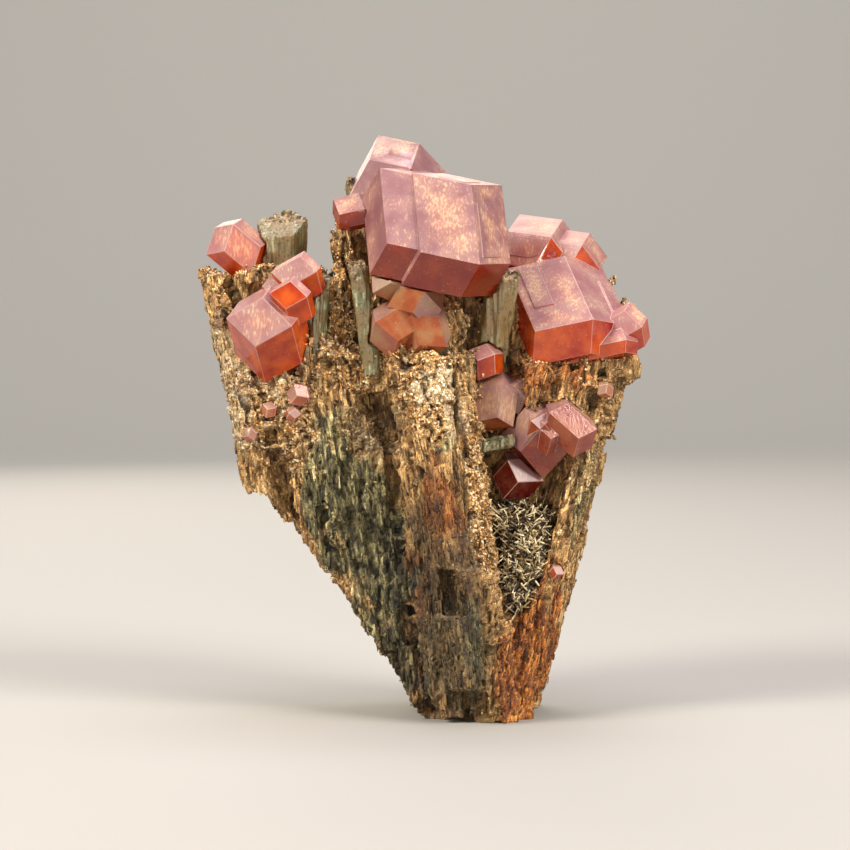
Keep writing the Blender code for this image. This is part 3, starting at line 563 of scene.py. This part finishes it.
def randomTurns(count, seed):
    draw = np.random.default_rng(seed)
    quats = draw.normal(size=(count, 4))
    quats /= np.linalg.norm(quats, axis=1)[:, None]
    w, x, y, z = quats.T
    return np.stack([
        np.stack([1 - 2 * (y * y + z * z), 2 * (x * y - z * w), 2 * (x * z + y * w)], axis=1),
        np.stack([2 * (x * y + z * w), 1 - 2 * (x * x + z * z), 2 * (y * z - x * w)], axis=1),
        np.stack([2 * (x * z - y * w), 2 * (y * z + x * w), 1 - 2 * (x * x + y * y)], axis=1)], axis=1)


sugarGrains = {
    "count": 16000,
    "size": (0.12, 0.32),
    "uneven": (0.7, 1.3),               # a grain's three sides, as shares of its size
    "sink": 0.08,
    "jitter": 0.12,
    "lowest": 0.8,                      # none lower than this, so that the foot stays flat
    "tone": (0.65, 1.3),
}
footGrains = {                          # grains heaped at the feet of the crystals
    "count": 5200,
    "from": 0.12,                       # rock nearer than this to a crystal is its foot
    "reach": 0.42,
    "standOff": 0.04,
    "tone": (0.5, 1.3),
}
slivers = {
    "count": 24000,
    "width": (0.08, 0.2),
    "length": (0.4, 1.5),
    "flat": (0.8, 1.8),                 # a sliver's width, as a share of its thickness
    "lean": 0.07,
    "jitter": 0.15,
    "standOff": 0.18,                   # an end farther than this from the rock would hang free
    "lowest": 2.0,
    "tone": (0.45, 1.35),
}


def grainCube():  # the small shape that is copied
    bpy.ops.mesh.primitive_cube_add(size=mm)
    return bpy.context.object


def buildGrains():
    points, normals = getPoints(rockPiece), getNormals(rockPiece)
    values = rockValues(rockPiece, np.arange(len(points)))
    weights = 0.22 + values["sugar"] + 0.8 * values["pale"] + 0.2 * values["moss"]
    weights *= (points[:, 2] > sugarGrains["lowest"]) * (0.25 + 0.75 * values["open"])
    chosen = pick(weights, sugarGrains["count"], 21)
    draw = np.random.default_rng(22)
    places = points[chosen] + draw.uniform(-1, 1, (len(chosen), 3)) * sugarGrains["jitter"]
    places -= normals[chosen] * sugarGrains["sink"]
    size = draw.uniform(*sugarGrains["size"], (len(chosen), 1))
    size = size * draw.uniform(*sugarGrains["uneven"], (len(chosen), 3))
    attributes = rockValues(rockPiece, chosen)
    # the grains stand out of the hollows, so they get less painted shade
    attributes["open"] = 0.5 + 0.5 * attributes["open"]
    attributes["tone"] = attributes["tone"] * draw.uniform(*sugarGrains["tone"], len(chosen))
    turns = randomTurns(len(chosen), 23)
    grains = joinedCopies("sugarGrains", grainCube(), places, turns, size, attributes)
    settle(grains, "rock", skarn)


def buildFootGrains():
    points = getPoints(rockPiece)
    draw = np.random.default_rng(25)
    chosen, places = [], []
    touching = [k for k, point in enumerate(points)
                if crystals.find_nearest(Vector(point), footGrains["from"])[0] is not None]
    for k in draw.choice(touching, footGrains["count"]):
        spot = Vector(points[k] + draw.normal(0, footGrains["reach"], 3))
        near, normal, _, gap = crystals.find_nearest(spot)
        if gap < footGrains["reach"] * 2:
            chosen.append(k)
            places.append(near + normal * footGrains["standOff"])
    size = draw.uniform(*sugarGrains["size"], (len(chosen), 1))
    size = size * draw.uniform(*sugarGrains["uneven"], (len(chosen), 3))
    attributes = rockValues(rockPiece, np.array(chosen))
    attributes["open"] = 0.7 + 0.3 * attributes["open"]
    attributes["sugar"] = np.ones(len(chosen))
    attributes["tone"] = draw.uniform(*footGrains["tone"], len(chosen))
    turns = randomTurns(len(chosen), 26)
    grains = joinedCopies("footGrains", grainCube(), np.array(places), turns, size, attributes)
    settle(grains, "rock", skarn)


def buildSlivers():
    points, normals = getPoints(rockPiece), getNormals(rockPiece)
    values = rockValues(rockPiece, np.arange(len(points)))
    surface = BVHTree.FromPolygons([Vector(point) for point in points],
                                   [face.vertices for face in rockPiece.data.polygons])
    weights = (1.05 - 0.75 * values["sugar"]) * (np.abs(normals[:, 2]) < 0.55)
    weights *= points[:, 2] > slivers["lowest"]
    drawn = pick(weights, slivers["count"], 31)
    draw = np.random.default_rng(32)
    chosen, places, turns, sizes = [], [], [], []
    for k in drawn:
        length = draw.uniform(*slivers["length"])
        width = draw.uniform(*slivers["width"])
        way = (fibreWay(points[k]) + Vector(draw.normal(0, slivers["lean"], 3))).normalized()
        middle = Vector(points[k] + draw.uniform(-1, 1, 3) * slivers["jitter"])
        ends = [surface.find_nearest(middle + way * length * half)[3] for half in (-0.5, 0.5)]
        if max(ends) > slivers["standOff"]:
            continue
        side = way.cross(Vector(normals[k])).normalized()
        chosen.append(k)
        places.append(middle)
        turns.append(np.array(Matrix((side, way, side.cross(way))).transposed()))
        sizes.append((width * draw.uniform(*slivers["flat"]), length, width))
    template = grainCube()
    for vert in template.data.vertices:        # both ends broken aslant
        vert.co.y += (0.22 * vert.co.x - 0.12 * vert.co.z) * (1 if vert.co.y > 0 else -1)
    attributes = rockValues(rockPiece, np.array(chosen))
    attributes["open"] = 0.45 + 0.55 * attributes["open"]
    attributes["tone"] = attributes["tone"] * draw.uniform(*slivers["tone"], len(chosen))
    piece = joinedCopies("rockSlivers", template, np.array(places), np.array(turns), np.array(sizes),
                         attributes)
    settle(piece, "rock", skarn)


buildGrains()
buildFootGrains()
buildSlivers()


garnet = {
    "edge": 0.07,                       # width of the worn edges
    "hazeAndSheenFrom": 0.05,                   # faces that look up or forward by more than this carry the haze: partly a real bloom, partly painted sheen
    "hazeAndSheenFull": 0.3,
    "forward": 0.25,                    # what looking forward counts, against looking up
    "smallFace": 1.2,                   # mm2: smaller faces are evenly hazed
    "steppedFace": 20.0,                # mm2: larger faces carry growth steps
    "stepMargin": (0.12, 0.26),         # as a share of the face's width
    "stepSlide": (0.45, 0.85),          # how far it slides to one corner, as a share of its margin
    "stepsMost": 1,
    "stepLeast": 1.2,                   # no step on a plate narrower than this
    "stepWall": 0.05,
    "stepRise": (0.06, 0.14),
    "stepWear": 0.5,                    # a step is worn less than an edge
    "coatBelow": 14.0,                  # mm2: only faces smaller than this are left clear
    "clearShare": 0.2,                  # share of them that are clear
    "dustyShare": 0.55,                 # share of the amber crystals' faces that are hazed all over
    "coatShift": 0.5,                   # how far these are tipped towards clear or hazed
    "paintedShadeHaze": 0.85,                   # the crystal in the deepest painted shade carries less haze and painted sheen
    # how much each crystal is darkened to wine red as painted shade, is amber, and is sandy
    "wine": {"garnet_pocket_low": 1.0, "garnet_pocket_right": 0.6, "garnet_centre_cluster": 0.7,
             "garnet_pocket_left": 0.35, "garnet_centre_lower": 0.2},
    "amber": {"garnet_centre_lower": 0.75, "garnet_pocket_left": 0.4},
    "dust": {"garnet_centre_lower": 0.75, "garnet_pocket_left": 0.3, "garnet_small": 0.8,
             "garnet_pocket_right": 0.25},
}


def garnetMaterial():
    # Grossular garnet: clear orange-red inside, amber in some crystals, and darkened to a wine red as painted
    # shade on the crystals in the pocket and under the big crystal. The faces that grew free and look up or
    # forward are satin, with a skin that is partly a real etched bloom and partly painted sheen: lilac-grey
    # at their rims, pink in the middle with fine upright cream flakes. The edges are worn pale. The bloom's
    # clouds are 3.2 mm across, the flakes 0.24 by 0.8 mm, and the specks 0.45 mm apart.
    material, tree, output = newMaterial("clearGarnet")
    place = addNode(tree, "TexCoord").outputs["Object"]
    inMm = addNode(tree, "VectorMath", {"operation": "SCALE", "Scale": 1 / mm}, {0: place}).outputs[0]
    edge, haze, middle, wine, amber, dust = (
        addNode(tree, "Attribute", {"attribute_name": name}).outputs["Fac"]
        for name in ("edge", "haze", "middle", "wine", "amber", "dust"))
    cloud = addNode(tree, "TexNoise", {"Scale": 1 / 3.2, "Detail": 3.0, "Roughness": 0.55}, {"Vector": inMm})
    stretched = addNode(tree, "Mapping", {"Scale": (1 / 0.24, 1 / 0.24, 1 / 0.8)}, {"Vector": inMm})
    striae = addNode(tree, "TexNoise", {"Scale": 1.0, "Detail": 3.0, "Roughness": 0.6},
                     {"Vector": stretched.outputs[0]})
    specks = addNode(tree, "TexVoronoi", {"Scale": 1 / 0.45}, {"Vector": inMm})
    centred = addNode(tree, "Math", {"operation": "MULTIPLY_ADD", 1: 0.35},
                      {0: middle, 2: cloud.outputs["Fac"]})
    pink = addNode(tree, "MapRange", {1: 0.42, 2: 0.82}, {0: centred.outputs[0]})
    flaked = addNode(tree, "Math", {"operation": "MULTIPLY_ADD", 1: 0.16},
                     {0: pink.outputs[0], 2: striae.outputs["Fac"]})
    flake = addNode(tree, "MapRange", {1: 0.60, 2: 0.74}, {0: flaked.outputs[0]})
    cover = addNode(tree, "MapRange", {1: 0.3, 2: 0.6, 3: 0.6, 4: 1.0}, {0: cloud.outputs["Fac"]})
    veil = addNode(tree, "Math", {"operation": "MULTIPLY"}, {0: haze, 1: cover.outputs[0]})
    speck = addNode(tree, "MapRange", {1: 0.10, 2: 0.05}, {0: specks.outputs["Distance"]})

    deepTone = addNode(tree, "MapRange", {1: 0.35, 2: 0.65}, {0: cloud.outputs["Fac"]})
    mottled = addNode(tree, "MapRange", {1: 0.42, 2: 0.6, 3: 0.3, 4: 0.95}, {0: cloud.outputs["Fac"]})
    warm = addNode(tree, "Math", {"operation": "MULTIPLY"}, {0: amber, 1: mottled.outputs[0]})
    skinLayers = ((pink.outputs[0], "#d59a88"), (flake.outputs[0], "#f6cfa6"))
    # the last deep layer is painted shade: a dark wine red over the crystals in the pocket and under the big
    # crystal
    deepLayers = ((deepTone.outputs[0], "#f56a1c"), (warm.outputs[0], "#cf8a45"), (wine, "#7c1208"))
    coats = []
    for first, layers in (("#ad878c", skinLayers), ("#b3220a", deepLayers)):
        coat = None
        for factor, over in layers:
            links = {0: factor, 6: coat} if coat else {0: factor}
            coat = addNode(tree, "Mix", {"data_type": "RGBA", 6: linear(first), 7: linear(over)},
                           links).outputs[2]
        coats.append(coat)
    # the pale skin over the deep red is haze and painted sheen, on the faces that look up or forward
    body = addNode(tree, "Mix", {"data_type": "RGBA"},
                   {0: veil.outputs[0], 6: coats[1], 7: coats[0]}).outputs[2]
    sandy = addNode(tree, "Math", {"operation": "MULTIPLY"}, {0: dust, 1: mottled.outputs[0]})
    for factor, over in ((sandy.outputs[0], "#b8946a"), (speck.outputs[0], "#f6e6da"), (edge, "#e0b0a2")):
        body = addNode(tree, "Mix", {"data_type": "RGBA", 7: linear(over)}, {0: factor, 6: body}).outputs[2]
    satin = addNode(tree, "Math", {"operation": "MULTIPLY_ADD", 1: 0.2, 2: 0.10}, {0: haze})
    rough = addNode(tree, "Math", {"operation": "MULTIPLY_ADD", 1: 0.16},
                    {0: striae.outputs["Fac"], 2: satin.outputs[0]})
    bump = addNode(tree, "Bump", {"Strength": 0.4, "Distance": 0.05 * mm}, {"Height": striae.outputs["Fac"]})
    shader = addNode(tree, "BsdfPrincipled",
                     {"IOR": 1.74, "Specular IOR Level": 0.3, "Transmission Weight": 0.5},
                     {"Base Color": body, "Roughness": rough.outputs[0], "Normal": bump.outputs[0]})
    inside = addNode(tree, "VolumeAbsorption", {"Color": linear("#f0602a"), "Density": 300.0})
    tree.links.new(shader.outputs[0], output.inputs["Surface"])
    tree.links.new(inside.outputs[0], output.inputs["Volume"])
    return material


def isConvex(mesh, face):
    corners = [mesh.vertices[v].co for v in face.vertices]
    for k, corner in enumerate(corners):
        turn = (corner - corners[k - 1]).cross(corners[(k + 1) % len(corners)] - corner)
        if turn.dot(face.normal) < 0:
            return False
    return True


def openness(face):  # how far a face looks up and forward, towards the lamps: it sets the haze and painted sheen
    return face.normal.z - garnet["forward"] * face.normal.y


def addSteps(piece, draw):  # growth steps: a thin raised plate on some of the broad faces
    mesh = piece.data
    broad = [face.index for face in mesh.polygons if face.material_index == 0 and isConvex(mesh, face)
             and face.area > garnet["steppedFace"] * mm * mm and openness(face) > garnet["hazeAndSheenFull"]]
    for index in broad:
        ways = [float(draw.choice((-1, 1))) for _ in range(2)]
        for _ in range(draw.integers(0, garnet["stepsMost"] + 1)):
            face = mesh.polygons[index]
            width = math.sqrt(face.area)
            if width < garnet["stepLeast"] * mm:
                break
            for other in mesh.polygons:
                other.select = other.index == index
            margin = draw.uniform(*garnet["stepMargin"]) * width
            bpy.ops.object.mode_set(mode="EDIT")
            bpy.ops.mesh.select_mode(type="FACE")
            bpy.ops.mesh.inset(thickness=margin)
            bpy.ops.object.mode_set(mode="OBJECT")
            mesh = piece.data
            face = mesh.polygons[index]
            corners = [mesh.vertices[v] for v in face.vertices]
            slide = Vector()
            for k, side in enumerate(ways):
                along = (corners[k + 1].co - corners[k].co).normalized()
                slide += along * (side * margin * draw.uniform(*garnet["stepSlide"]))
            for corner in corners:
                corner.co += slide
            before = len(mesh.polygons)
            bpy.ops.object.mode_set(mode="EDIT")
            bpy.ops.mesh.inset(thickness=garnet["stepWall"] * mm,
                               depth=draw.uniform(*garnet["stepRise"]) * mm)
            bpy.ops.object.mode_set(mode="OBJECT")
            mesh = piece.data
            for wall in mesh.polygons[before:]:
                wall.material_index = 2
            if not isConvex(mesh, mesh.polygons[index]):
                break


crystal = {                             # garnets and prisms alike, in degrees
    "flat": 1.5,                        # the solid's triangles that turn less than this are one face
    "sharp": 15.0,                      # edges that turn more than this are worn
}


def wornCrystal(nodeName, material, width, edgeSlot):  # a copy with whole faces and worn edges
    piece = copyOfNode(nodeName, nodeName + "_crystal")
    bpy.ops.object.mode_set(mode="EDIT")
    bpy.ops.mesh.select_all(action="SELECT")
    bpy.ops.mesh.dissolve_limited(angle_limit=math.radians(crystal["flat"]))
    bpy.ops.object.mode_set(mode="OBJECT")
    for _ in range(3):                          # slots that mark the faces, the worn edges and the steps
        piece.data.materials.append(material)
    applyModifier(piece, "BEVEL", width=width * mm, segments=1, limit_method="ANGLE",
                  angle_limit=math.radians(crystal["sharp"]), material=edgeSlot)
    return piece


def buildGarnet(nodeName, material, seed):
    piece = wornCrystal(nodeName, material, garnet["edge"], 1)
    mesh = piece.data
    small = np.array([face.area for face in mesh.polygons]) < garnet["coatBelow"] * mm * mm
    chance = np.random.default_rng(seed + 100).random(len(small))
    coat = np.where(small & (chance < garnet["clearShare"]), -garnet["coatShift"], 0.0)
    if nodeName in garnet["amber"]:
        coat += np.where(chance > 1 - garnet["dustyShare"], garnet["coatShift"], 0.0)
    mesh.attributes.new("coat", "FLOAT", "FACE").data.foreach_set("value", coat.astype(np.float32))
    addSteps(piece, np.random.default_rng(seed))
    mesh = piece.data
    corners = len(mesh.vertices)
    least = garnet["smallFace"] * mm * mm
    for face in mesh.polygons:                  # a point in the middle of each broad face
        face.select = face.material_index == 0 and face.area > least and isConvex(mesh, face)
    bpy.ops.object.mode_set(mode="EDIT")
    bpy.ops.mesh.select_mode(type="FACE")
    bpy.ops.mesh.poke()
    bpy.ops.object.mode_set(mode="OBJECT")
    mesh = piece.data
    store(piece, "middle", (np.arange(len(mesh.vertices)) >= corners).astype(float))
    isEdge = np.array([(0, 1, garnet["stepWear"])[face.material_index] for face in mesh.polygons])
    coat = np.empty(len(mesh.polygons), np.float32)
    mesh.attributes["coat"].data.foreach_get("value", coat)
    looks = np.array([openness(face) for face in mesh.polygons])
    hazeAndSheenShares = smoothStep(garnet["hazeAndSheenFrom"], garnet["hazeAndSheenFull"], looks + coat)
    if garnet["wine"].get(nodeName) == 1.0:
        hazeAndSheenShares *= garnet["paintedShadeHaze"]
    for name in ("wine", "amber", "dust"):
        much = max([value for node, value in garnet[name].items() if nodeName.startswith(node)], default=0.0)
        store(piece, name, np.full(len(mesh.vertices), much))
    for name, values in (("edge", isEdge), ("haze", hazeAndSheenShares)):
        mesh.attributes.new(name, "FLOAT", "FACE").data.foreach_set("value", values.astype(np.float32))
    mesh.polygons.foreach_set("material_index", np.zeros(len(mesh.polygons), np.int32))
    settle(piece, "garnet", material, nodeName)


hessonite = garnetMaterial()
for seed, nodeName in enumerate(sorted(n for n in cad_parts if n.startswith("garnet"))):
    buildGarnet(nodeName, hessonite, 50 + seed)
print("garnets are made")


prism = {
    "edge": 0.12,
    "voxel": 0.22,
    "striae": (0.34, 0.34, 4.0),
    "relief": 0.16,
    "sandFrom": (2.6, 0.6),             # how far under the head the sand comes in, and is full
    "sandRim": (0.8, 0.8, 0.8),
    "sandMuch": 0.8,
    "crumb": (0.6, 0.6, 0.6),
    "crumbRelief": 0.12,
    "tall": 5.0,                        # a prism lower than this lies on its side and has no sandy head
    "brown": {"prism_right_thick": 0.55, "prism_left_stub": 0.3},
}


def prismMaterial():
    # Grey-green pyroxene: satin prisms, striated along their length (0.4 by 4 mm), with dark specks (0.3 mm),
    # brown stains (1.6 mm) and tan sand on the ends (0.35 mm).
    material, tree, output = newMaterial("greenPyroxene")
    place = addNode(tree, "TexCoord").outputs["Object"]
    inMm = addNode(tree, "VectorMath", {"operation": "SCALE", "Scale": 1 / mm}, {0: place}).outputs[0]
    sand = addNode(tree, "Attribute", {"attribute_name": "sand"})
    brown = addNode(tree, "Attribute", {"attribute_name": "brown"})
    along = addNode(tree, "Mapping", {"Scale": (1 / 0.4, 1 / 0.4, 1 / 4.0)}, {"Vector": inMm})
    striae = addNode(tree, "TexNoise", {"Scale": 1.0, "Detail": 4.0, "Roughness": 0.6},
                     {"Vector": along.outputs[0]})
    specks = addNode(tree, "TexNoise", {"Scale": 1 / 0.3, "Detail": 2.0}, {"Vector": inMm})
    grains = addNode(tree, "TexVoronoi", {"Scale": 1 / 0.35}, {"Vector": inMm})
    grainTone = addNode(tree, "SeparateColor", {}, {"Color": grains.outputs["Color"]})
    sage = addNode(tree, "ValToRGB", {"stops": [
        (0.32, "#211e10"), (0.44, "#545636"), (0.56, "#828462"), (0.70, "#c4c29c")]},
        {"Fac": striae.outputs["Fac"]})
    speck = addNode(tree, "MapRange", {1: 0.36, 2: 0.42, 3: 0.35, 4: 1.0}, {0: specks.outputs["Fac"]})
    stains = addNode(tree, "TexNoise", {"Scale": 1 / 1.6, "Detail": 3.0}, {"Vector": inMm})
    tint = addNode(tree, "MapRange", {1: 0.42, 2: 0.6}, {0: stains.outputs["Fac"]})
    stained = addNode(tree, "Mix", {"data_type": "RGBA", 6: linear("#6b5a36")},
                      {0: tint.outputs[0], 7: sage.outputs[0]})
    browned = addNode(tree, "Mix", {"data_type": "RGBA", 7: linear("#75592c")},
                      {0: brown.outputs["Fac"], 6: stained.outputs[2]})
    specked = addNode(tree, "VectorMath", {"operation": "SCALE"},
                      {0: browned.outputs[2], "Scale": speck.outputs[0]})
    tan = addNode(tree, "ValToRGB", {"stops": [
        (0.0, "#241708"), (0.5, "#624822"), (1.0, "#ad9060")]},
        {"Fac": grainTone.outputs[0]})
    colour = addNode(tree, "Mix", {"data_type": "RGBA"},
                     {0: sand.outputs["Fac"], 6: specked.outputs[0], 7: tan.outputs[0]})
    bump = addNode(tree, "Bump", {"Strength": 0.7, "Distance": 0.1 * mm}, {"Height": striae.outputs["Fac"]})
    shader = addNode(tree, "BsdfPrincipled", {"Roughness": 0.45, "IOR": 1.68},
                     {"Base Color": colour.outputs[2], "Normal": bump.outputs[0]})
    tree.links.new(shader.outputs[0], output.inputs["Surface"])
    return material


def buildPrism(nodeName, material):
    piece = wornCrystal(nodeName, material, prism["edge"], 0)
    applyModifier(piece, "REMESH", mode="VOXEL", voxel_size=prism["voxel"] * mm)
    points, normals = getPoints(piece), getNormals(piece)
    relief = prism["relief"] * clouds(points, prism["striae"], 4.4)
    head = points[:, 2].max()
    low, full = prism["sandFrom"]
    top = smoothStep(head - low, head - full, points[:, 2] + clouds(points, prism["sandRim"], 9.9))
    relief += prism["crumbRelief"] * top * cells(points, prism["crumb"], 7.7)
    setPoints(piece, points + normals * relief[:, None])
    store(piece, "sand", top * (prism["sandMuch"] if points[:, 2].ptp() > prism["tall"] else 0.0))
    store(piece, "brown", np.full(len(points), prism["brown"].get(nodeName, 0.0)))
    settle(piece, "prism", material, nodeName)


pyroxene = prismMaterial()
for nodeName in [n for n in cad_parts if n.startswith("prism")]:
    buildPrism(nodeName, pyroxene)
print("prisms are made")


needles = {
    "count": 820,
    "sides": 4,
    "radius": (0.05, 0.11),
    "length": (1.0, 2.3),
    "ways": ((-1, 1), (-0.9, 0.1), (-0.7, 1)),      # how far they lean in x, y and z
    "sunk": 0.15,                       # share of a needle's length that is in the bed
    "clear": 0.5,                       # their middles keep this far from the crystals
    "standOut": 0.3,                    # their tips stand this far before the bed at most
    "darkAbove": 27.0,                  # the needles under the crystals are darkened towards brown as painted shade
    "darkUneven": 0.8,
    "paintedShadeMuch": 0.5,
    # tones are drawn at random; about a fifth fall to the least and are near black, painted shade in the gaps
    # between the needles
    "tone": (-0.15, 1.0),
    "toneLeast": 0.08,
}


def needleMaterial():
    # A felt of fine mineral needles: satin cream and olive, dark brown between them. The near-black bed and
    # the darkest needles are painted shade in the gaps.
    material, tree, output = newMaterial("needleFelt")
    tone = addNode(tree, "Attribute", {"attribute_name": "tone"})
    colour = addNode(tree, "ValToRGB", {"stops": [
        (0.0, "#100905"), (0.2, "#54391c"), (0.5, "#ab935e"), (1.0, "#fff0ca")]},
        {"Fac": tone.outputs["Fac"]})
    shader = addNode(tree, "BsdfPrincipled", {"Roughness": 0.45, "IOR": 1.6},
                     {"Base Color": colour.outputs[0]})
    tree.links.new(shader.outputs[0], output.inputs["Surface"])
    return material


def buildNeedles():
    felt = needleMaterial()
    bed = copyOfNode("needle_crust", "needleBed")
    # the bed is near black: painted shade between the needles
    store(bed, "tone", np.zeros(len(bed.data.vertices)))
    settle(bed, "needles", felt, "needle_crust")
    tree = BVHTree.FromObject(bed, bpy.context.evaluated_depsgraph_get())
    low, high = (np.array(c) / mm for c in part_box("needle_crust"))
    draw = np.random.default_rng(41)
    places, turns, sizes, tones = [], [], [], []
    while len(places) < needles["count"]:
        start = Vector((draw.uniform(low[0], high[0]), low[1] - 20, draw.uniform(low[2], high[2]))) * mm
        root = tree.ray_cast(start, Vector((0, 1, 0)))[0]
        if root is None:
            continue
        way = Vector([draw.uniform(*lean) for lean in needles["ways"]]).normalized()
        length = draw.uniform(*needles["length"])
        radius = draw.uniform(*needles["radius"])
        middle = Vector(root) / mm + way * length * (0.5 - needles["sunk"])
        tip = Vector(root) / mm + way * length * (1 - needles["sunk"])
        near = crystals.find_nearest(middle, needles["clear"])[0]
        if near is not None or tip.y < low[1] - needles["standOut"]:
            continue
        places.append(middle)
        turns.append(np.array(way.to_track_quat("Z", "Y").to_matrix()))
        sizes.append((radius * 2, radius * 2, length))
        shaded = root.z / mm > needles["darkAbove"] + draw.normal(0, needles["darkUneven"])
        tone = max(needles["toneLeast"], draw.uniform(*needles["tone"]))
        tones.append(tone * (needles["paintedShadeMuch"] if shaded else 1.0))
    bpy.ops.mesh.primitive_cylinder_add(vertices=needles["sides"], radius=0.5 * mm, depth=mm)
    template = bpy.context.object
    piece = joinedCopies("needleFelt", template, np.array(places), np.array(turns), np.array(sizes),
                         {"tone": np.array(tones)})
    settle(piece, "needles", felt)


buildNeedles()
